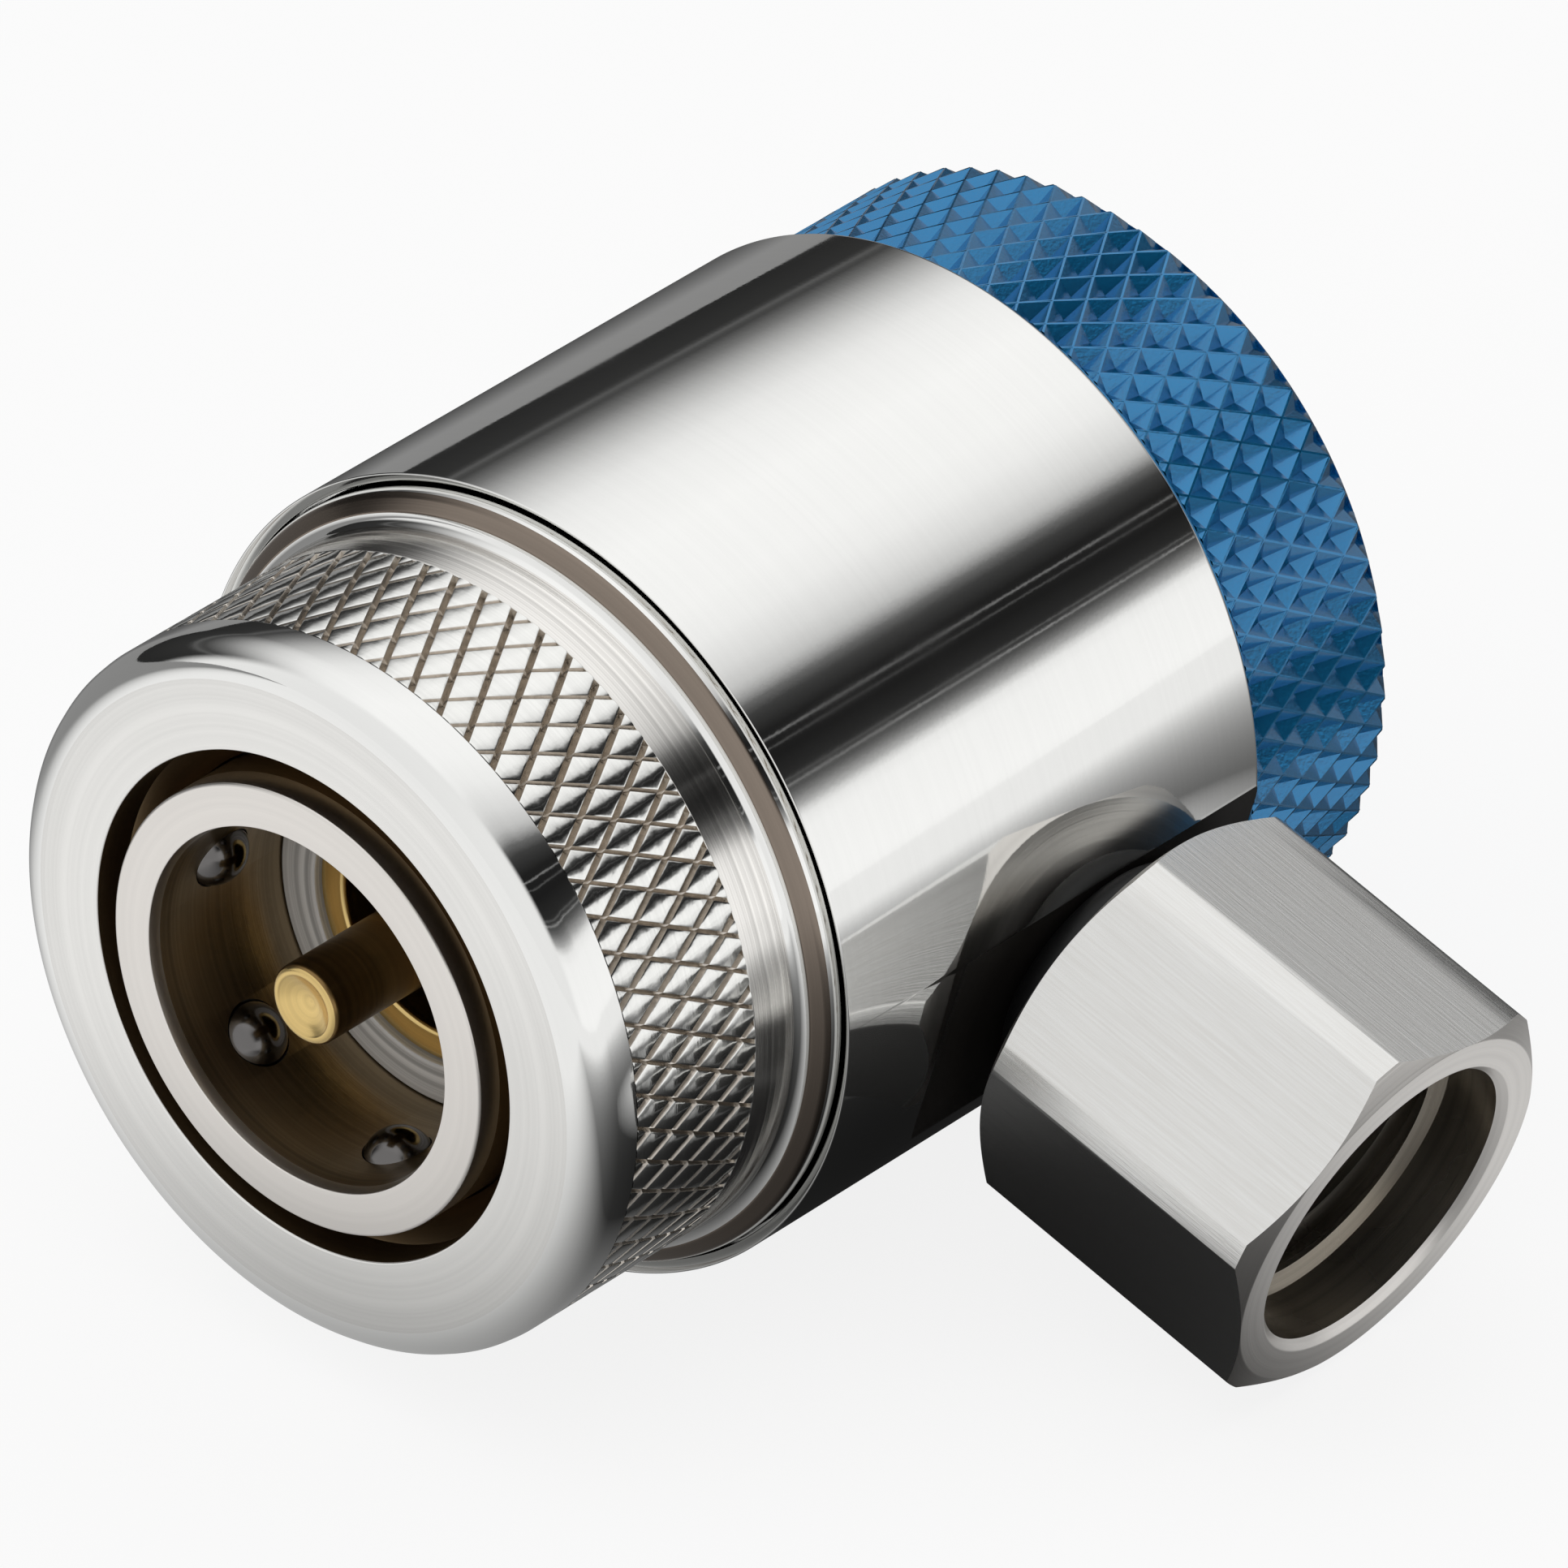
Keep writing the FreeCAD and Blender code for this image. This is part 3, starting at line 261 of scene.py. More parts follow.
# Plain brass of the gland, dulled by handling
gland_brass = turned_metal("dull_gland_brass", "#B8924A", rough=0.32, ring_mm=0.25,
                           ring_high=3.0, tint=0.10)
# Zinc-plated steel of the small hardware: an even, pale grey
washer_steel = turned_metal("zinc_plated_steel", "#C4C3C1", rough=0.34, ring_mm=0.25,
                            ring_high=6.0, tint=0.10)
# The washer in the socket is steel with a matte grey phosphate coat, scratched in rings
rough_steel = turned_metal("phosphated_steel_washer", "#C6C5C3", rough=0.45, ring_mm=0.14,
                           ring_high=14.0, tint=0.70, metallic=0.15)
# Hardened steel of the balls, coloured dark: each has one sharp glint
ball_steel = turned_metal("dark_ball_steel", "#6A6867", rough=0.14, ring_mm=0.60, ring_high=0.1)
# Drawn spring wire: smooth grey steel with a soft shine
spring_steel = turned_metal("drawn_spring_steel", "#9A9996", rough=0.28, ring_mm=0.20,
                            ring_high=1.5)
# The flat under the hose fitting is painted dull and nearly black: painted shade under the hexagon
painted_shade_seat = turned_metal("seat_painted_black_shade", "#1E1C1A", rough=0.55, ring_mm=0.15,
                          ring_high=6.0, tint=0.20, about_port=True, metallic=0.0, specular=0.15)
print("brass and steel finishes made")

# %% [markdown]
# The hexagon is cold-drawn bar, so its flats carry fine straight lines along the bar and not
# rings. A Mapping node turns the coordinates until X runs along the hose port; noise that is
# stretched far along X then makes the lines. They too are drawn coarser than they are.

# %% Drawn hexagon bar
DRAW_LINE = 0.11
# Nickel over cold-drawn brass bar: a satin that is streaked along the bar
fitting_nickel, tree, shader, where = new_finish("satin_nickel_drawn_hexagon")
along_bar = add_node(tree, "ShaderNodeMapping", {
    "Vector": where, "Rotation": (0.0, -PORT_TURN, 0.0)})
stretched = add_node(tree, "ShaderNodeMapping", {
    "Vector": along_bar.outputs[0], "Scale": (0.03, 1.0, 1.0)})
lines = add_node(tree, "ShaderNodeTexNoise", {
    "Vector": stretched.outputs[0], "Scale": 1 / (DRAW_LINE * MM), "Detail": 4.0,
    "Roughness": 0.7})
line_height = add_node(tree, "ShaderNodeBump", {
    "Height": lines.outputs["Fac"], "Distance": 9 * MICRON, "Strength": 1.0})
line_share = add_node(tree, "ShaderNodeMapRange", {
    "Value": lines.outputs["Fac"], "From Min": 0.35, "From Max": 0.65})
line_tint = add_node(tree, "ShaderNodeMix", {
    "Factor": line_share.outputs[0], "A": linear("#D7D6D3"), "B": linear("#DEDEDC")},
    data_type="RGBA")
shader.inputs["Metallic"].default_value = 1.0
shader.inputs["Roughness"].default_value = 0.24
tree.links.new(line_tint.outputs["Result"], shader.inputs["Base Color"])
tree.links.new(line_height.outputs[0], shader.inputs["Normal"])
print("drawn finish made:", fitting_nickel.name)

# %% [markdown]
# The O-rings are black rubber with a dull skin from the mould. The hand wheel is aluminium that
# was etched before its blue anodised skin grew, so it glitters finely and shines in its own
# colour, under a clear seal that is the shader's coat. Both need a grain, a bump from fine noise,
# so one function gives it. The etch is far finer than the grain that stands for it here.


# %% Moulded rubber and anodised aluminium
def add_grain(tree, shader, where, grain_mm, high, detail=3.0):
    """Roughen a surface with grains grain_mm wide and high micrometres high."""
    grain = add_node(tree, "ShaderNodeTexNoise", {
        "Vector": where, "Scale": 1 / (grain_mm * MM), "Detail": detail})
    height = add_node(tree, "ShaderNodeBump", {
        "Height": grain.outputs["Fac"], "Distance": high * MICRON, "Strength": 1.0})
    tree.links.new(height.outputs[0], shader.inputs["Normal"])


# Black nitrile rubber: nearly no colour, and a dull shine
seal_rubber, tree, shader, where = new_finish("moulded_black_rubber")
add_grain(tree, shader, where, 0.15, 3)
shader.inputs["Base Color"].default_value = linear("#0B0B0C")
shader.inputs["Roughness"].default_value = 0.55

# Blue anodised aluminium: metal that mirrors in blue, with slow changes in the dye
blue_anodised, tree, shader, where = new_finish("blue_anodised_aluminium")
DYE_PATCH = 5
add_grain(tree, shader, where, 0.15, 14)
patches = add_node(tree, "ShaderNodeTexNoise", {
    "Vector": where, "Scale": 1 / (DYE_PATCH * MM), "Detail": 2.0})
dye = add_node(tree, "ShaderNodeMix", {
    "Factor": patches.outputs["Fac"], "A": linear("#066CA2"), "B": linear("#0F7FB6")},
    data_type="RGBA")
shader.inputs["Metallic"].default_value = 0.72
shader.inputs["Roughness"].default_value = 0.24
shader.inputs["Coat Weight"].default_value = 0.9
shader.inputs["Coat Roughness"].default_value = 0.1
tree.links.new(dye.outputs["Result"], shader.inputs["Base Color"])
print("moulded and anodised finishes made")

# %% [markdown]
# Nearly every piece comes off a lathe, so nearly every piece is one outline spun about an axis.
# A corner of the outline may have a rounding: the vertex is bevelled while the outline is still
# a bare wire, which gives an arc, and the spin turns the arc into a rounded edge.


# %% Lathe helpers
WELD = 1e-4


def draw_wire(shape, corners, centre, axis):
    """Join (radius, along) corners beside the axis into an open wire, and give its vertices."""
    sideways = Vector(axis).orthogonal().normalized()
    wire = []
    for radius, along, *_ in corners:
        wire.append(shape.verts.new(Vector(centre) + sideways * radius + Vector(axis) * along))
    for first, second in zip(wire, wire[1:]):
        shape.edges.new((first, second))
    return wire


def turned_piece(corners, steps=360, centre=(0, 0, 0), axis=(0, 1, 0)):
    """Spin a closed outline of (radius, along, rounding) corners about Y, or the hose port."""
    lathe = bmesh.new()
    wire = draw_wire(lathe, corners, centre, axis)
    lathe.edges.new((wire[-1], wire[0]))
    for vert, corner in zip(wire, corners):
        if len(corner) > 2:
            bmesh.ops.bevel(lathe, geom=[vert], offset=corner[2], offset_type="OFFSET",
                            affect="VERTICES", segments=6, profile=0.5, material=-1)
    bmesh.ops.spin(lathe, geom=lathe.verts[:] + lathe.edges[:], cent=centre, axis=axis,
                   dvec=(0, 0, 0), angle=2 * math.pi, steps=steps, use_merge=True)
    bmesh.ops.remove_doubles(lathe, verts=lathe.verts, dist=WELD)
    bmesh.ops.recalc_face_normals(lathe, faces=lathe.faces)
    return lathe


# %% [markdown]
# A finished piece is a mesh in metres that rides on one body of the model, stands for one of its
# nodes and says which finish it takes. Sharp edges are marked by their angle, so that flat faces
# stay flat under smooth shading. Holes across a curved wall are cut with a Boolean, whose result
# is read back as a plain mesh.


# %% Finishing helpers
SHARP_ANGLE = 28


def mesh_of(shape, name):
    """A new mesh from a bmesh, which is used up."""
    mesh = bpy.data.meshes.new(name)
    shape.to_mesh(mesh)
    shape.free()
    return mesh


def face_places(shape):
    """Every face of a shape about the barrel's axis, with its middle's radius and height."""
    for face in shape.faces:
        middle = face.calc_center_median()
        yield face, math.hypot(middle.x, middle.z), middle.y


def shade_by_angle(shape, sharp):
    """Shade smoothly, apart from the edges that bend by sharp degrees or more."""
    for face in shape.faces:
        face.smooth = True
    for edge in shape.edges:
        edge.smooth = edge.calc_face_angle(0.0) < math.radians(sharp)


def finish_piece(shape, name, body, node, finishes, sharp=SHARP_ANGLE):
    """Turn the bmesh into an object in metres that rides on its body and stands for its node."""
    bmesh.ops.scale(shape, vec=(MM, MM, MM), verts=shape.verts)
    shade_by_angle(shape, sharp)
    mesh = mesh_of(shape, name)
    for finish in finishes:
        mesh.materials.append(finish)
    piece = new_object(name, mesh)
    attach(piece, body)
    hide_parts(node)
    print(name, "faces", len(mesh.polygons))
    return piece


def cut_away(piece, cutter):
    """Take the cutter's volume out of a piece, and keep the sharp edges sharp."""
    bmesh.ops.scale(cutter, vec=(MM, MM, MM), verts=cutter.verts)
    tool = new_object("cutter", mesh_of(cutter, "cutter"))
    cut = piece.modifiers.new("cut", "BOOLEAN")
    cut.object = tool
    cut.operation = "DIFFERENCE"
    cut.solver = "EXACT"
    done = piece.evaluated_get(bpy.context.evaluated_depsgraph_get())
    result = bpy.data.meshes.new_from_object(done)
    piece.modifiers.clear()
    piece.data = result
    bpy.data.objects.remove(tool)
    shape = bmesh.new()
    shape.from_mesh(result)
    shade_by_angle(shape, SHARP_ANGLE)
    shape.to_mesh(result)
    shape.free()


# %% [markdown]
# Both knurls are nets of diamonds. One diamond is copied round the axis by a spin with duplicates;
# the next row is a copy that is turned by half a pitch, and so on. After the shared corners are
# merged the net is one skin. Cutting the net with two planes ends it cleanly at the edge of its
# band. What differs is the diamond itself: raised with grooves round it, or sunk to a point.


# %% Knurl helpers
def turn_about_barrel(shape, angle, verts):
    """Turn some vertices about the barrel's axis."""
    bmesh.ops.rotate(shape, cent=(0, 0, 0), matrix=Matrix.Rotation(angle, 3, "Y"), verts=verts)


def repeat_diamond(net, around, tall, rows):
    """Copy the diamond in net round Y and upwards, and merge the corners that meet."""
    step = 2 * math.pi / around
    bmesh.ops.spin(net, geom=net.faces[:], cent=(0, 0, 0), axis=(0, 1, 0), dvec=(0, 0, 0),
                   angle=2 * math.pi, steps=around, use_duplicate=True)
    row = net.faces[:]
    for _ in range(rows - 1):
        copied = bmesh.ops.duplicate(net, geom=row)
        row = [item for item in copied["geom"] if isinstance(item, bmesh.types.BMFace)]
        verts = list({vert for face in row for vert in face.verts})
        turn_about_barrel(net, step / 2, verts)
        bmesh.ops.translate(net, vec=(0, tall / 2, 0), verts=verts)
    bmesh.ops.remove_doubles(net, verts=net.verts, dist=0.01)
    bmesh.ops.recalc_face_normals(net, faces=net.faces)


def slice_shape(shape, place, outward, clear=True):
    """Cut along a plane, drop what lies outward of it if asked, and give back the cut's edges."""
    everything = shape.verts[:] + shape.edges[:] + shape.faces[:]
    sliced = bmesh.ops.bisect_plane(shape, geom=everything, dist=1e-5, plane_co=place,
                                    plane_no=outward, clear_outer=clear)
    return [item for item in sliced["geom_cut"] if isinstance(item, bmesh.types.BMEdge)]


def trim_band(shape, low, high, centre=(0, 0, 0), axis=(0, 1, 0)):
    """Keep only what lies between two planes square to the axis."""
    for place, side in ((low, -1), (high, 1)):
        slice_shape(shape, Vector(centre) + Vector(axis) * place, Vector(axis) * side)


def add_to(shape, extra):
    """Put the faces of one bmesh into another."""
    mesh = mesh_of(extra, "part")
    shape.from_mesh(mesh)
    bpy.data.meshes.remove(mesh)


# %% [markdown]
# The locking sleeve is the collar that the hand pulls back. It has a rounded front, a band of
# cross knurl for the fingers, a fine-turned band, and a flange ring that runs into the barrel.
# It is one outline, spun, and the outline leaves a shallow trough where the knurl goes. Which
# finish a face gets is told from where its middle lies.

# %% Outline of the locking sleeve
SLEEVE_RADIUS = 13.0
TROUGH_RADIUS = 12.6
KNURL_LOW = 2.42
KNURL_HIGH = 8.18
sleeve_finishes = [sleeve_nickel, knurl_nickel, band_nickel, gap_brass_painted_shade, barrel_nickel,
                   painted_shade_flange, painted_shade_groove]
sleeve_shape = turned_piece([
    # front face
    (9.23, 0.28, 0.08), (SLEEVE_RADIUS, 0.28, 1.2),
    # trough of the knurl
    (SLEEVE_RADIUS, KNURL_LOW, 0.05), (TROUGH_RADIUS, KNURL_LOW),
    (TROUGH_RADIUS, KNURL_HIGH), (SLEEVE_RADIUS, KNURL_HIGH, 0.05),
    # fine-turned band and flange ring
    (SLEEVE_RADIUS, 10.38, 0.40), (13.45, 10.38), (14.05, 10.78, 0.28), (14.05, 12.60, 0.10),
    # room for the spring, then the lands and the groove that the balls see
    (11.30, 12.60), (11.30, 7.80), (8.26, 7.80), (8.26, 6.75), (8.85, 6.75), (8.85, 4.15),
    (8.26, 4.15), (8.26, 2.70), (9.23, 1.73)])
# Faces in the gap between sleeve and nose take brass painted darker as shade.
# Faces of the flange ring take nickel painted dark as the shade of its gap.
for face, out, along in face_places(sleeve_shape):
    if out > 12.9 and KNURL_HIGH < along < 10.1:
        face.material_index = sleeve_finishes.index(band_nickel)
    elif out < 9.3 and along > 0.4:
        face.material_index = sleeve_finishes.index(gap_brass_painted_shade)
    elif out > 13.4 and along < 10.8:
        face.material_index = sleeve_finishes.index(painted_shade_flange)
    elif out > 11.9 and along > 0.3:
        face.material_index = sleeve_finishes.index(barrel_nickel)
print("sleeve outline faces", len(sleeve_shape.faces))

# %% [markdown]
# One raised diamond of the sleeve's knurl is a grid of six by six faces: its outer lines drop into
# the grooves, its inner lines stay on the sleeve's round, so the tops mirror the room as the plain
# sleeve does. One set of grooves is deeper than the other, because the two rolls of the knurling
# tool never press alike.

# %% Knurl of the locking sleeve
KNURL_MIDDLE = 5.30
KNURL_TALL = 2.26
KNURL_AROUND = 63
KNURL_TURN = math.radians(11.78)
ROWS_BELOW = 3
SHALLOW_GROOVE = {"wide": 0.15, "deep": 0.18}
DEEP_GROOVE = {"wide": 0.24, "deep": 0.30}
LIP_SHARE = 0.06
LIP_DROP = 0.025
GROOVE_FROM = 0.06
KNURL_SHARP_ANGLE = 32
diamond_half = SLEEVE_RADIUS * math.pi / KNURL_AROUND
grooves_apart = diamond_half * KNURL_TALL / math.hypot(diamond_half, KNURL_TALL / 2)


def groove_line(share, wide, deep):
    """Where one of a diamond's seven lines goes, and how far it drops below the sleeve's round."""
    edge = 0.5 - wide / 2 / grooves_apart
    count = round(abs(share) * 6)
    place = (0.0, edge - LIP_SHARE, edge, 0.5)[count]
    drop = (0.0, 0.0, LIP_DROP, deep)[count]
    return math.copysign(place, share), drop


sleeve_knurl = bmesh.new()
bmesh.ops.create_grid(sleeve_knurl, x_segments=6, y_segments=6, size=0.5)
for vert in sleeve_knurl.verts:
    along, drop_along = groove_line(vert.co.x, **SHALLOW_GROOVE)
    aside, drop_aside = groove_line(vert.co.y, **DEEP_GROOVE)
    angle = (along + aside) * diamond_half / SLEEVE_RADIUS
    out = SLEEVE_RADIUS - max(drop_along, drop_aside)
    height = KNURL_MIDDLE + (along - aside - ROWS_BELOW) * KNURL_TALL / 2
    vert.co = (out * math.cos(angle), height, out * math.sin(angle))
repeat_diamond(sleeve_knurl, KNURL_AROUND, KNURL_TALL, 2 * ROWS_BELOW + 1)
turn_about_barrel(sleeve_knurl, KNURL_TURN, sleeve_knurl.verts)
trim_band(sleeve_knurl, KNURL_LOW, KNURL_HIGH)
# Faces down in the grooves take nickel painted darker as the shade of the creases.
for face, out, along in face_places(sleeve_knurl):
    in_groove = out < SLEEVE_RADIUS - GROOVE_FROM
    face.material_index = sleeve_finishes.index(painted_shade_groove if in_groove else knurl_nickel)
add_to(sleeve_shape, sleeve_knurl)
finish_piece(sleeve_shape, "sleeve_skin", "sleeve", "locking_sleeve",
             sleeve_finishes, sharp=KNURL_SHARP_ANGLE)

# %% [markdown]
# The socket nose is the tube that takes the service port. Its end face is satin nickel and its
# bore is browned brass, so the faces inside the bore get the second finish.

# %% Socket nose
nose_finishes = [nose_nickel, bore_brass, gap_brass_painted_shade]
nose_shape = turned_piece([
    # end face and outside, with the groove of the stop ring
    (6.63, 0.0, 0.04), (8.18, 0.0, 0.12), (8.18, 1.0), (8.18, 6.0), (7.75, 6.0), (7.75, 6.74),
    (8.18, 6.74), (8.18, 15.0),
    # collar and the thread's end in the barrel
    (9.3, 15.0), (9.3, 16.0), (7.9, 16.0), (7.9, 20.4),
    # passage, seat of the bush, and bore
    (4.4, 20.4), (4.4, 11.0), (4.98, 11.0), (4.98, 8.45), (6.53, 8.45), (6.53, 0.45)])
# Faces under the sleeve, in the gap, take brass painted darker as shade.
for face, out, along in face_places(nose_shape):
    if out < 6.6 and along > 0.4:
        face.material_index = nose_finishes.index(bore_brass)
    elif out > 7.0 and along > 1.1:
        face.material_index = nose_finishes.index(gap_brass_painted_shade)
nose = finish_piece(nose_shape, "nose_skin", "coupler_body", "socket_nose",
                    nose_finishes)

# %% [markdown]
# Six balls in holes of the nose lock the coupler on its port. The holes cross a curved wall, so
# they are cut with a Boolean, by six short rods that lie where the balls do. The rods are a
# little thinner than the balls, as the lips of the real holes are, which hold the balls back.

# %% Locking balls and their holes
BALLS = 6
BALL_TURN = math.radians(14.65)
BALL_RADIUS = 1.25
BALL_PLACE = (6.99, 3.2, 0)
HOLE_RADIUS = 1.19
HOLE_PLACE = (7.5, 3.2, 0)
holes = bmesh.new()
balls = bmesh.new()
for count in range(BALLS):
    turn = Matrix.Rotation(BALL_TURN - count * 2 * math.pi / BALLS, 4, "Y")
    lay_down = Matrix.Translation(HOLE_PLACE) @ Matrix.Rotation(math.pi / 2, 4, "Y")
    bmesh.ops.create_cone(holes, cap_ends=True, segments=48, radius1=HOLE_RADIUS,
                          radius2=HOLE_RADIUS, depth=3.0, matrix=turn @ lay_down)
    bmesh.ops.create_uvsphere(balls, u_segments=48, v_segments=32, radius=BALL_RADIUS,
                              matrix=turn @ Matrix.Translation(BALL_PLACE))
cut_away(nose, holes)
finish_piece(balls, "ball_set", "coupler_body", "locking_balls", [ball_steel])

# %% [markdown]
# At the bottom of the socket lie a plain steel washer and, in its hole, the brass bush that
# guides the depressor pin. The pin is brass too, with a dished tip that sits on the valve of the
# service port. All three are simple turned pieces; their small roundings catch the light.

# %% Seal washer, bush and depressor pin
washer_shape = turned_piece([
    (5.02, 6.33, 0.06), (6.50, 6.33, 0.06), (6.50, 6.93), (5.02, 6.93)], steps=180)
finish_piece(washer_shape, "washer_skin", "coupler_body", "seal_washer",
             [rough_steel])
bush_shape = turned_piece([
    (3.95, 6.60, 0.2), (4.95, 6.60, 0.06), (4.95, 11.0), (3.95, 11.0)], steps=180)
finish_piece(bush_shape, "bush_skin", "coupler_body", "seal_bush", [yellow_brass])
pin_shape = turned_piece([
    # dished tip
    (0.0, 0.80), (1.08, 0.40), (1.14, 0.35, 0.03), (1.46, 0.35, 0.28),
    # side and head
    (1.46, 18.4), (2.2, 18.4, 0.1), (2.2, 19.9, 0.1), (0.0, 19.9)], steps=120)
for face, out, along in face_places(pin_shape):
    if out > 1.15 and along > 0.42:
        face.material_index = 1
finish_piece(pin_shape, "pin_skin", "depressor", "depressor_pin",
             [yellow_brass, brown_brass])

# %% [markdown]
# The barrel is the plain plated body, one outline with the cup for the sleeve in front and the
# bore for the gland behind. Spun in many steps, it mirrors the room without facets.

# %% Barrel
barrel_shape = turned_piece([
    # mouth and outside
    (14.15, 11.30, 0.04), (14.51, 11.03, 0.05), (14.54, 11.08, 0.02), (14.54, 31.80, 0.22),
    # gland bore, passage and seat of the nose
    (7.03, 31.80, 0.1), (7.03, 26.6), (4.4, 26.6), (4.4, 20.4), (7.93, 20.4), (7.93, 16.0),
    # cup of the sleeve
    (11.6, 16.0), (11.6, 14.9), (14.15, 14.9)])
barrel = finish_piece(barrel_shape, "barrel_skin", "coupler_body", "barrel",
                      [barrel_nickel, painted_shade_seat])

# %% [markdown]
# In the barrel's side is a round flat on which the hose fitting seats, with a hole for its stub.
# It crosses the barrel's round, so it is cut with a Boolean: a stepped plug is spun about the
# port's axis and taken away. The faces of the flat are then found by their place on that axis.

# %% Seat of the hose fitting
SEAT_AT = 13.92
SEAT_RADIUS = 8.5
STUB_RADIUS = 3.17
STUB_END = 8.2
STUB_ROOM = 0.03
stub_hole = STUB_RADIUS + STUB_ROOM
seat_cutter = turned_piece([
    (0, STUB_END), (stub_hole, STUB_END), (stub_hole, SEAT_AT), (SEAT_RADIUS, SEAT_AT),
    (SEAT_RADIUS, 20.0), (0, 20.0)], steps=180, centre=PORT_CENTRE, axis=PORT_AXIS)
cut_away(barrel, seat_cutter)
# The faces of the flat take the finish that is painted nearly black as shade under the hexagon.
for face in barrel.data.polygons:
    on_seat = abs(face.center.dot(PORT_AXIS) / MM - SEAT_AT) < 0.02
    if on_seat and face.normal.dot(PORT_AXIS) > 0.99:
        face.material_index = 1
print("barrel faces after the cut", len(barrel.data.polygons))

# %% [markdown]
# The hose fitting is drawn hexagon bar. It is spun as a round bar with its bevelled ends, bore
# and neck first, and then six planes slice the flats, each cut closed again with new faces. That
# is also how the real one gets its curved bevel lines and the narrow round lands at its corners:
# bevel and corners are turned, the flats are drawn. The bore leaves a trough for the hose thread.

# %% Hexagon of the hose fitting
NECK_RADIUS = 2.73
HEX_LOW = 15.8
HEX_HIGH = 27.8
HEX_HALF = 7.0
HEX_CORNER = 7.8
FLAT_TURN = 76.3
hex_bevel = (HEX_CORNER - HEX_HALF) * math.tan(math.radians(30))
fitting_shape = turned_piece([
    # stub and neck
    (2.0, STUB_END), (STUB_RADIUS, STUB_END), (STUB_RADIUS, SEAT_AT), (NECK_RADIUS, SEAT_AT),
    (NECK_RADIUS, HEX_LOW),
    # round bar with both bevels
    (HEX_HALF, HEX_LOW), (HEX_CORNER, HEX_LOW + hex_bevel), (HEX_CORNER, HEX_HIGH - hex_bevel),
    (HEX_HALF, HEX_HIGH, 0.04),
    # mouth of the bore, trough of the thread, and seat of the gasket
    (5.88, HEX_HIGH, 0.04), (5.58, 27.5), (5.58, 25.4), (4.97, 25.095), (5.62, 25.06),
    (5.62, 18.195), (4.80, 18.195), (4.80, 17.045), (2.0, 17.045)],
    centre=PORT_CENTRE, axis=PORT_AXIS)
for count in range(6):
    angle = math.radians(FLAT_TURN + 60 * count)
    outward = Vector((0, 1, 0)) * math.cos(angle) + PORT_UP * math.sin(angle)
    rim = slice_shape(fitting_shape, PORT_CENTRE + outward * HEX_HALF, outward)
    bmesh.ops.holes_fill(fitting_shape, edges=rim, sides=0)
print("hexagon faces", len(fitting_shape.faces))

# %% [markdown]
# The hose thread is one zigzag, spun with a step along the axis, which makes a screw surface. It
# starts below the trough and ends above it, and two planes trim it to length. A screw surface is
# open, so its normals are turned towards the axis, which is the side that the hose sees.

# %% Hose thread
THREAD_PITCH = 1.27
THREAD_CREST = 4.97
THREAD_ROOT = 5.55
THREAD_START = 16.5
THREAD_LOW = 18.2
THREAD_HIGH = 25.08
THREAD_TURNS = 8
TURN_STEPS = 72
thread_shape = bmesh.new()
draw_wire(thread_shape, [
    (THREAD_CREST, THREAD_START), (THREAD_CREST, THREAD_START + 0.30),
    (THREAD_ROOT, THREAD_START + 0.63), (THREAD_ROOT, THREAD_START + 0.94),
    (THREAD_CREST, THREAD_START + THREAD_PITCH)], PORT_CENTRE, PORT_AXIS)
bmesh.ops.spin(thread_shape, geom=thread_shape.verts[:] + thread_shape.edges[:],
               cent=PORT_CENTRE, axis=PORT_AXIS, dvec=PORT_AXIS * THREAD_PITCH / TURN_STEPS,
               angle=2 * math.pi * THREAD_TURNS, steps=TURN_STEPS * THREAD_TURNS)
bmesh.ops.remove_doubles(thread_shape, verts=thread_shape.verts, dist=0.001)
trim_band(thread_shape, THREAD_LOW, THREAD_HIGH, PORT_CENTRE, PORT_AXIS)
bmesh.ops.recalc_face_normals(thread_shape, faces=thread_shape.faces)
thread_shape.faces.ensure_lookup_table()
some = thread_shape.faces[0]
to_axis = PORT_CENTRE - some.calc_center_median()
if some.normal.dot(to_axis - PORT_AXIS * to_axis.dot(PORT_AXIS)) < 0:
    bmesh.ops.reverse_faces(thread_shape, faces=thread_shape.faces)
print("thread faces", len(thread_shape.faces))

# %% [markdown]
# Thread and hexagon now become one piece. Its finishes are told apart by place and direction: the
# bore is thinly plated, what looks along the port's axis was faced in the lathe, and the rest is
# drawn bar.

# %% Finishes of the hose fitting
add_to(fitting_shape, thread_shape)
fitting_finishes = [fitting_nickel, bore_nickel, end_nickel]
for face in fitting_shape.faces:
    middle = face.calc_center_median() - PORT_CENTRE
    deep = middle.dot(PORT_AXIS)
    if (middle - PORT_AXIS * deep).length < 5.75 and 15.9 < deep < 27.4:
        face.material_index = fitting_finishes.index(bore_nickel)
    elif abs(face.normal.dot(PORT_AXIS)) > 0.7:
        face.material_index = fitting_finishes.index(end_nickel)
finish_piece(fitting_shape, "fitting_skin", "coupler_body", "port_fitting",
             fitting_finishes)

# %% [markdown]
# Under the hexagon an O-ring seals the fitting against the barrel's flat. It is a circle stood
# upright beside the port's axis, just clear of the neck, and spun about that axis.

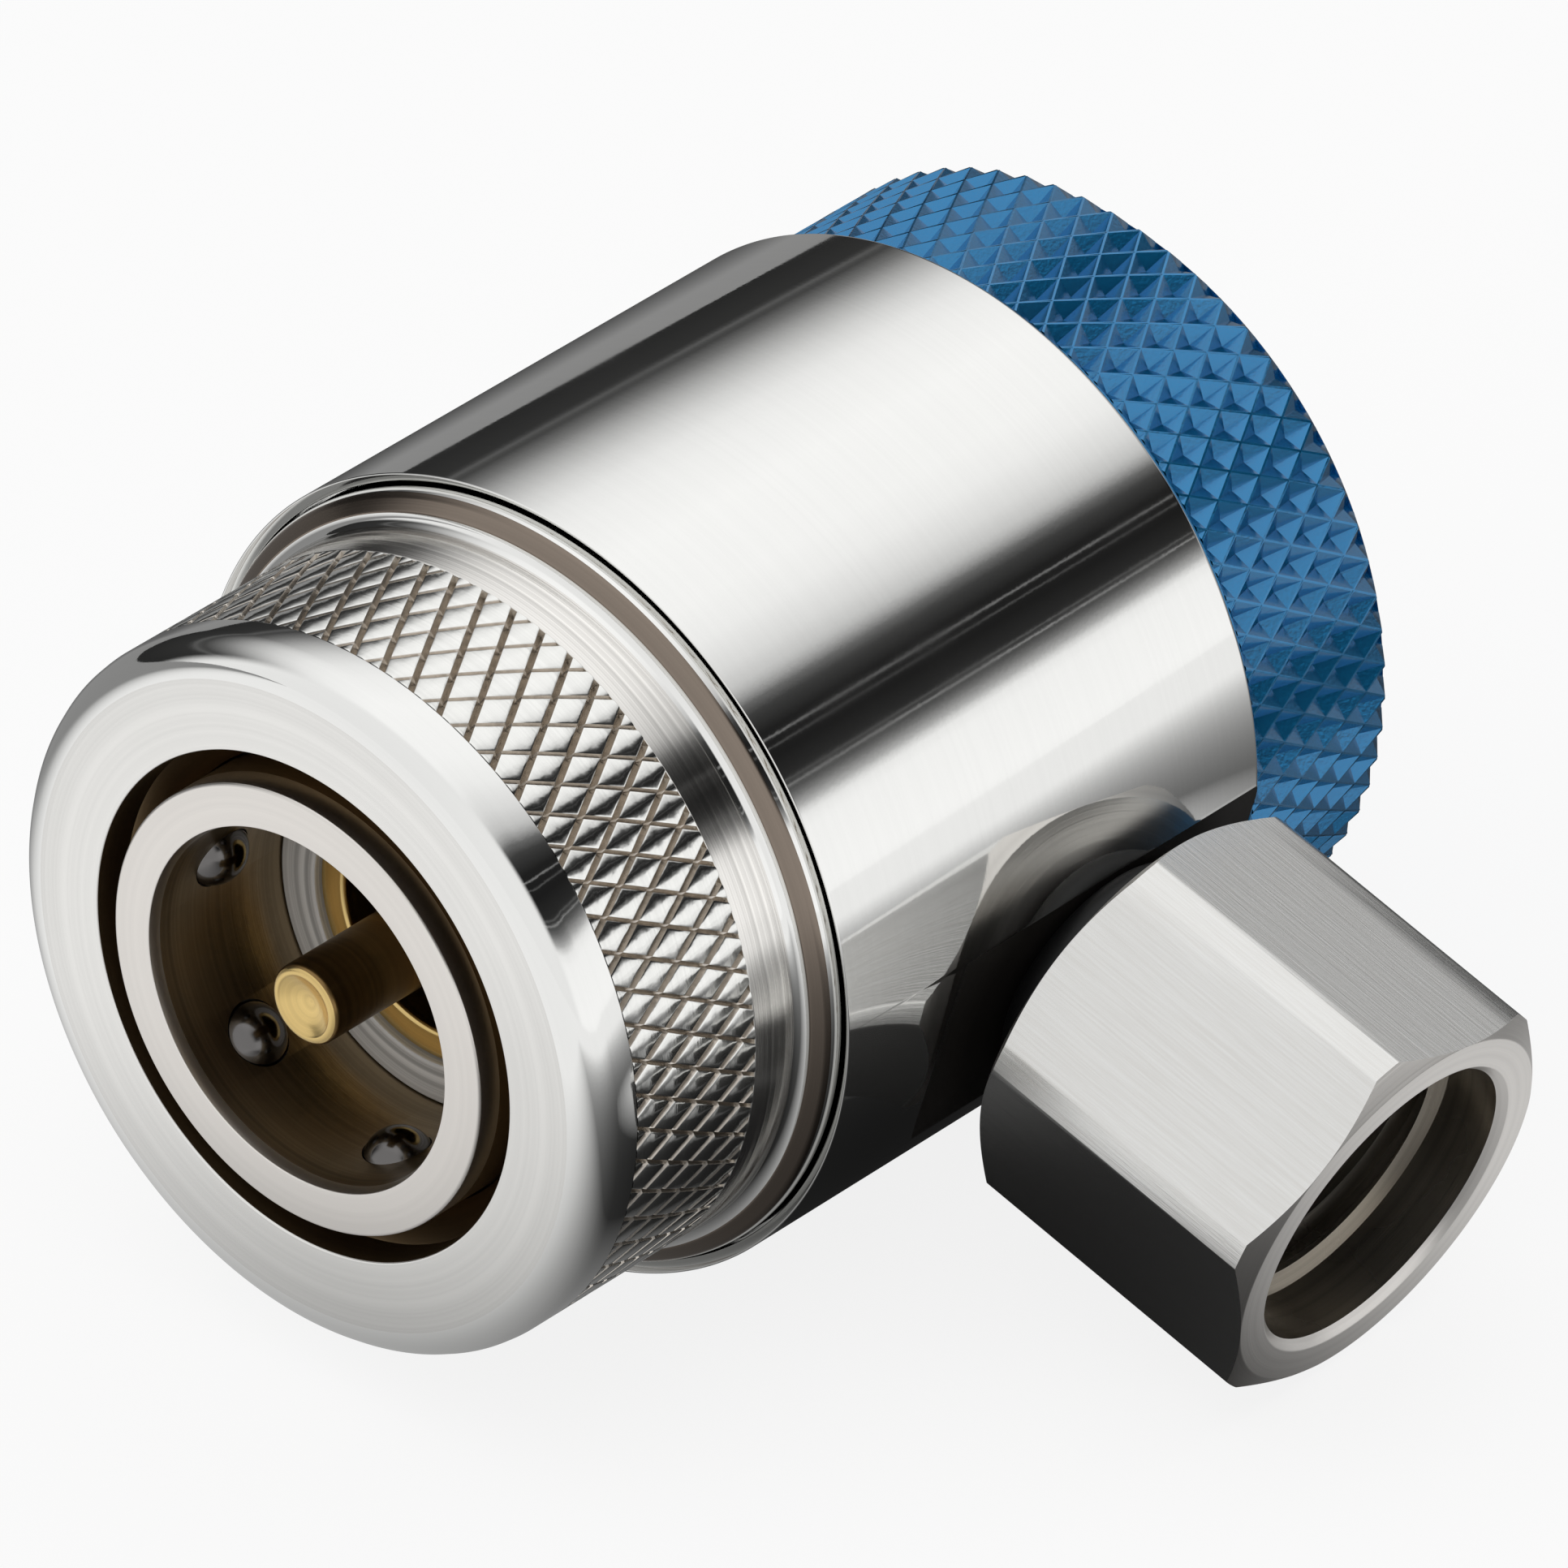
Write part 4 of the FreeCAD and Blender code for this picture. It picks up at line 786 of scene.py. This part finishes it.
# %% Fitting seal
ORING_HALF = 0.93
ORING_AT = 14.86
ORING_ROOM = 0.02
ring_middle = PORT_CENTRE + PORT_AXIS * ORING_AT
oring_shape = bmesh.new()
bmesh.ops.create_circle(oring_shape, segments=32, radius=ORING_HALF)
stand_up = PORT_AXIS.to_track_quat("X", "Z").to_matrix().to_4x4()
ring_place = Matrix.Translation(
    ring_middle + PORT_UP * (NECK_RADIUS + ORING_ROOM + ORING_HALF))
bmesh.ops.transform(oring_shape, verts=oring_shape.verts,
                    matrix=ring_place @ stand_up @ Matrix.Rotation(math.pi / 2, 4, "X"))
bmesh.ops.spin(oring_shape, geom=oring_shape.edges[:], cent=ring_middle, axis=PORT_AXIS,
               dvec=(0, 0, 0), angle=2 * math.pi, steps=120, use_merge=True)
bmesh.ops.remove_doubles(oring_shape, verts=oring_shape.verts, dist=WELD)
bmesh.ops.recalc_face_normals(oring_shape, faces=oring_shape.faces)
finish_piece(oring_shape, "fitting_oring", "coupler_body", "fitting_seal",
             [seal_rubber])

# %% [markdown]
# The hand wheel is turned aluminium: a disc with a recess in front for the gland, one behind for
# the screw, and a cross knurl round its rim. As on the sleeve, the outline leaves a trough for
# the knurl, here with a bevel at the back.

# %% Outline of the hand wheel
WHEEL_LOW = 32.35
WHEEL_BEND = 39.0
WHEEL_HIGH = 39.52
wheel_shape = turned_piece([
    # front, with the recess over the gland
    (0.0, 33.2), (10.5, 33.2), (10.5, 32.2, 0.1), (13.75, 32.2, 0.05), (13.88, WHEEL_LOW, 0.05),
    # trough of the knurl
    (13.45, WHEEL_LOW), (13.45, WHEEL_BEND), (12.9, WHEEL_HIGH),
    # back, with the recess of the screw
    (13.36, WHEEL_HIGH), (13.3, 39.6, 0.04), (10.3, 39.6, 0.1), (10.1, 38.4, 0.1),
    (4.2, 38.4, 0.1), (4.2, 36.0), (0.0, 36.0)])
print("wheel outline faces", len(wheel_shape.faces))

# %% [markdown]
# The wheel's knurl was pressed in, so the net of lines stands proud and each diamond between them
# is a small pit. One diamond is a circle of four segments; an inset leaves the line round it, and
# a poke adds a middle point that is pushed in. Then the diamond is repeated as on the sleeve. At
# the back the knurl runs out over the bevelled edge, so there the net is cut along a ring and bent
# inwards beyond it.

# %% Knurl of the hand wheel
WHEEL_RADIUS = 13.9
PIT_AROUND = 68
PIT_TALL = 2.11
PIT_ROWS = 9
PIT_LINE = 0.04
PIT_DEEP = 0.40
FIRST_PIT = 31.665
pit_wide = 2 * WHEEL_RADIUS * math.tan(math.pi / PIT_AROUND)
wheel_knurl = bmesh.new()
bmesh.ops.create_circle(wheel_knurl, cap_ends=True, segments=4, radius=0.5)
bmesh.ops.scale(wheel_knurl, vec=(pit_wide, PIT_TALL, 1), verts=wheel_knurl.verts)
turn_about_barrel(wheel_knurl, math.pi / 2, wheel_knurl.verts)
bmesh.ops.recalc_face_normals(wheel_knurl, faces=wheel_knurl.faces)
wheel_knurl.faces.ensure_lookup_table()
if wheel_knurl.faces[0].normal.x < 0:
    bmesh.ops.reverse_faces(wheel_knurl, faces=wheel_knurl.faces)
bmesh.ops.translate(wheel_knurl, vec=(WHEEL_RADIUS, FIRST_PIT, 0), verts=wheel_knurl.verts)
pit_lines = bmesh.ops.inset_individual(wheel_knurl, faces=wheel_knurl.faces[:],
                                       thickness=PIT_LINE, use_even_offset=True)
inner = [face for face in wheel_knurl.faces if face not in set(pit_lines["faces"])]
bmesh.ops.poke(wheel_knurl, faces=inner, offset=-PIT_DEEP)
repeat_diamond(wheel_knurl, PIT_AROUND, PIT_TALL, PIT_ROWS)
turn_about_barrel(wheel_knurl, PORT_TURN, wheel_knurl.verts)
slice_shape(wheel_knurl, (0, WHEEL_BEND, 0), (0, 1, 0), clear=False)
for vert in wheel_knurl.verts:
    inward = 1 - max(vert.co.y - WHEEL_BEND, 0.0) / WHEEL_RADIUS
    vert.co.x *= inward
    vert.co.z *= inward
trim_band(wheel_knurl, WHEEL_LOW, WHEEL_HIGH)
add_to(wheel_shape, wheel_knurl)
finish_piece(wheel_shape, "wheel_skin", "wheel", "hand_wheel", [blue_anodised])

# %% [markdown]
# The pieces inside keep their CAD shapes, which are right as they are, and only get a finish:
# the seals are rubber, the stop ring is spring steel, gland and spindle are brass, and the small
# hardware is plated steel. A dictionary from node to finish keeps this to a few lines.

# %% Finishes of the inner pieces
inner_finishes = {
    "port_seal": seal_rubber, "stem_seal": seal_rubber, "hose_gasket": seal_rubber,
    "sleeve_stop_ring": spring_steel, "gland_nut": gland_brass,
    "packing_washer": washer_steel, "spindle": gland_brass, "pin_retainer": washer_steel,
    "wheel_washer": washer_steel, "wheel_screw": washer_steel}
for node_name, finish in inner_finishes.items():
    node_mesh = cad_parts[node_name].data
    node_mesh.materials.clear()
    node_mesh.materials.append(finish)
print("inner pieces dressed:", len(inner_finishes))

# %% [markdown]
# The spring behind the sleeve is the one piece that changes shape: its rear end stays on its seat
# while the sleeve pushes its front end back by the length of the slide. Here the coil is a copy of
# the CAD node's mesh that rides on the body.
# The copy is loose along its seams and carries stored normals, so the normals are dropped and the
# doubles merged before it is finished like every other piece.

# %% Sleeve spring
coil_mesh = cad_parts["sleeve_spring"].data.copy()
if "custom_normal" in coil_mesh.attributes:
    coil_mesh.attributes.remove(coil_mesh.attributes["custom_normal"])
coil_shape = bmesh.new()
coil_shape.from_mesh(coil_mesh)
bpy.data.meshes.remove(coil_mesh)
bmesh.ops.scale(coil_shape, vec=(1 / MM, 1 / MM, 1 / MM), verts=coil_shape.verts)
bmesh.ops.remove_doubles(coil_shape, verts=coil_shape.verts, dist=WELD)
for face in coil_shape.faces:
    face.material_index = 0
spring_coil = finish_piece(coil_shape, "spring_coil", "coupler_body", "sleeve_spring",
                           [spring_steel])
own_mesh(spring_coil)

# %% [markdown]
# A polished barrel shows the room more than itself, so the light is built for what the barrel
# mirrors. The bands on the real barrel are those of a white tent with black cards along the
# coupler. Here the world is that tent: the angle round the coupler's axis is looked up in a ramp
# of white and black. Thin slits of light between the cards come from a second ramp over a narrower
# angle, since one ramp has too few steps for them.

# %% Tent and cards
# places in degrees from +X towards +Z, and how bright the tent is there, from 0 to 1
TENT = [(-180, 0.02), (-160, 0.30), (-10, 0.80), (-5, 0.88), (2, 0.93), (18, 0.90), (21.5, 0.82),
        (24, 0.38), (26.5, 0.17), (29, 0.05), (32, 0.022), (38, 0.012), (45, 0.014), (50.5, 0.044),
        (53.4, 0.13), (55.5, 0.32), (58.4, 0.54), (64.5, 0.71), (74, 0.86), (84, 0.92), (106, 0.94),
        (122, 0.88), (130, 0.81), (138, 0.65), (146, 0.42), (154, 0.17), (161, 0.04), (163, 0.10),
        (165, 0.03), (180, 0.02)]
SLITS = [(29.7, 0.25), (31.2, 0.08), (40.5, 0.07), (43.0, 0.20)]
SLIT_HALF = 0.4
slit_marks = [(20, 0.0)]
for place, bright in SLITS:
    slit_marks += [(place - SLIT_HALF, 0.0), (place, bright), (place + SLIT_HALF, 0.0)]
slit_marks.append((60, 0.0))

world = bpy.data.worlds.new("studio_tent")
bpy.context.scene.world = world
world.use_nodes = True
tree = world.node_tree
tree.nodes.clear()
toward = add_node(tree, "ShaderNodeTexCoord").outputs["Generated"]
parts = add_node(tree, "ShaderNodeSeparateXYZ", {0: toward})
around = add_node(tree, "ShaderNodeMath", {0: parts.outputs["Z"], 1: parts.outputs["X"]},
                  operation="ARCTAN2")
ramps = []
for marks in (TENT, slit_marks):
    low, high = marks[0][0], marks[-1][0]
    share = add_node(tree, "ShaderNodeMapRange", {
        "Value": around.outputs[0], "From Min": math.radians(low), "From Max": math.radians(high)})
    look_up = add_node(tree, "ShaderNodeValToRGB", {"Fac": share.outputs[0]})
    elements = look_up.color_ramp.elements
    for count, (place, bright) in enumerate(marks):
        spot = (place - low) / (high - low)
        # a new ramp already has two marks
        mark = elements[count] if count < 2 else elements.new(spot)
        mark.position = spot
        mark.color = (bright, bright, bright, 1.0)
    ramps.append(look_up.outputs[0])
cards = add_node(tree, "ShaderNodeMix", {"Factor": 1.0, "A": ramps[0], "B": ramps[1]},
                 data_type="RGBA", blend_type="ADD")
print("tent marks:", len(TENT), "slit marks:", len(slit_marks))

# %% [markdown]
# The tent has two ends, before and behind the coupler. The near one is a plain grey white, which
# lights the socket, and the far one is half as bright. How far a direction points along the
# coupler's axis tells where each end begins.

# %% Ends of the tent
NEAR_END = (-0.62, -0.38)
NEAR_WHITE = (0.80, 0.80, 0.80, 1.0)
FAR_END = (0.76, 0.88)
FAR_SHARE = 0.48
inside = add_node(tree, "ShaderNodeMapRange", {
    "Value": parts.outputs["Y"], "From Min": NEAR_END[0], "From Max": NEAR_END[1]},
    interpolation_type="SMOOTHSTEP")
far_end = add_node(tree, "ShaderNodeMapRange", {
    "Value": parts.outputs["Y"], "From Min": FAR_END[0], "From Max": FAR_END[1], "To Min": 1.0,
    "To Max": FAR_SHARE}, interpolation_type="SMOOTHSTEP")
front_tent = add_node(tree, "ShaderNodeMix", {
    "Factor": inside.outputs[0], "A": NEAR_WHITE, "B": cards.outputs["Result"]},
    data_type="RGBA")
tent = add_node(tree, "ShaderNodeMix", {
    "Factor": 1.0, "A": front_tent.outputs["Result"], "B": far_end.outputs[0]},
    data_type="RGBA", blend_type="MULTIPLY")
glow = add_node(tree, "ShaderNodeBackground", {"Color": tent.outputs["Result"], "Strength": 1.2})
add_node(tree, "ShaderNodeOutputWorld", {"Surface": glow.outputs[0]})
print("world nodes:", len(tree.nodes))

# %% [markdown]
# The floor is a wide white sheet at the height where the barrel and one corner of the hexagon
# touch it. It is matte white, and for rays that look at it straight or in a mirror it glows a
# little as well, so that it is as white as paper in the picture and still takes a soft shadow.

# %% Floor
FLOOR = -14.54
GLOW_SHARE = 0.85


def stage_disc(name, radius, place, finish):
    """A round sheet of the set, radius and height in millimetres."""
    shape = bmesh.new()
    bmesh.ops.create_circle(shape, cap_ends=True, segments=64, radius=radius * MM)
    bmesh.ops.translate(shape, vec=(0, 0, place * MM), verts=shape.verts)
    mesh = mesh_of(shape, name)
    mesh.materials.append(finish)
    disc = new_object(name, mesh)
    return disc


# Matte white sheet with the slightest fibre
white_sheet, tree, shader, where = new_finish("matte_white_sheet")
add_grain(tree, shader, where, 2, 1, detail=2.0)
shader.inputs["Base Color"].default_value = (0.97, 0.97, 0.97, 1.0)
shader.inputs["Roughness"].default_value = 0.9
shader.inputs["Specular IOR Level"].default_value = 0.0
looks = add_node(tree, "ShaderNodeLightPath").outputs
straight = add_node(tree, "ShaderNodeMath", {
    0: looks["Is Camera Ray"], 1: looks["Is Glossy Ray"]}, operation="MAXIMUM")
any_look = add_node(tree, "ShaderNodeMath", {
    0: straight.outputs[0], 1: looks["Is Transmission Ray"]}, operation="MAXIMUM")
white_share = add_node(tree, "ShaderNodeMath", {0: any_look.outputs[0], 1: GLOW_SHARE},
                       operation="MULTIPLY")
white = add_node(tree, "ShaderNodeEmission", {"Strength": 1.0})
sheet_mix = add_node(tree, "ShaderNodeMixShader", {
    "Fac": white_share.outputs[0], 1: shader.outputs[0], 2: white.outputs[0]})
tree.links.new(sheet_mix.outputs[0], tree.nodes["Material Output"].inputs["Surface"])
stage_disc("floor_sheet", 3000, FLOOR, white_sheet)
print("floor at", FLOOR)

# %% [markdown]
# Bright metal on white loses its lower edge. A studio lays dark cards close to it, just out of
# the picture. Here one disc that only reflections see stands in for them, and it glows: it is a
# painted reflection of the floor's shadow, darkest in the corner between barrel and hexagon,
# paler with distance and grey to the left and behind, and a painted reflection of light, white
# in front, where the sleeve's face looks, and beside the open end of the hose port.

# %% Glowing card of painted reflections
CORNER = (12 * MM, 22 * MM, FLOOR * MM)
PORT_END = (33 * MM, 38 * MM, FLOOR * MM)
LEFTWARD = (-0.8, 0.6, 0.0)
FORWARD = (-0.6, -0.8, 0.0)
# No shine of its own: it glows with the grey that each place is given, as painted shadow and
# painted light in reflections
painted_reflection_card, tree, shader, where = new_finish("glowing_card_of_painted_reflections")
from_corner = add_node(tree, "ShaderNodeVectorMath", {0: where, 1: CORNER},
                       operation="SUBTRACT").outputs[0]
away = add_node(tree, "ShaderNodeVectorMath", {0: from_corner}, operation="LENGTH")
to_left = add_node(tree, "ShaderNodeVectorMath", {0: from_corner, 1: LEFTWARD},
                   operation="DOT_PRODUCT")
to_front = add_node(tree, "ShaderNodeVectorMath", {0: from_corner, 1: FORWARD},
                    operation="DOT_PRODUCT")
to_port_end = add_node(tree, "ShaderNodeVectorMath", {0: where, 1: PORT_END},
                       operation="DISTANCE")
tones = []
# what is measured, where the change begins and ends in millimetres, the tone at each, and how
for measure, begin, end, first_tone, last_tone, change in (
        (away, 0, 170, 0.01, 1.0, "SMOOTHSTEP"),
        (to_front, 6, 46, 0.01, 1.0, "LINEAR"),
        (to_port_end, 5, 21, 0.75, 0.0, "LINEAR"),
        (to_left, 5, 40, 1.0, 0.28, "SMOOTHSTEP")):
    tone = add_node(tree, "ShaderNodeMapRange", {
        "Value": measure.outputs["Value"], "From Min": begin * MM, "From Max": end * MM,
        "To Min": first_tone, "To Max": last_tone}, interpolation_type=change)
    tones.append(tone.outputs[0])
pale, white_front, white_end, grey_left = tones
two_whites = add_node(tree, "ShaderNodeMath", {0: white_front, 1: white_end}, operation="MAXIMUM")
brightest = add_node(tree, "ShaderNodeMath", {0: pale, 1: two_whites.outputs[0]},
                     operation="MAXIMUM")
card_tone = add_node(tree, "ShaderNodeMath", {0: brightest.outputs[0], 1: grey_left},
                     operation="MULTIPLY")
# The tone glows as emission, so the metal mirrors painted shade and painted light.
tree.links.new(card_tone.outputs[0], shader.inputs["Emission Color"])
shader.inputs["Emission Strength"].default_value = 1.0
shader.inputs["Base Color"].default_value = (0.0, 0.0, 0.0, 1.0)
shader.inputs["Specular IOR Level"].default_value = 0.0
card = stage_disc("painted_reflection_card", 2900, FLOOR + 0.01, painted_reflection_card)
card.visible_camera = False
card.visible_diffuse = False
card.visible_transmission = False
card.visible_shadow = False
print("card nodes:", len(tree.nodes))
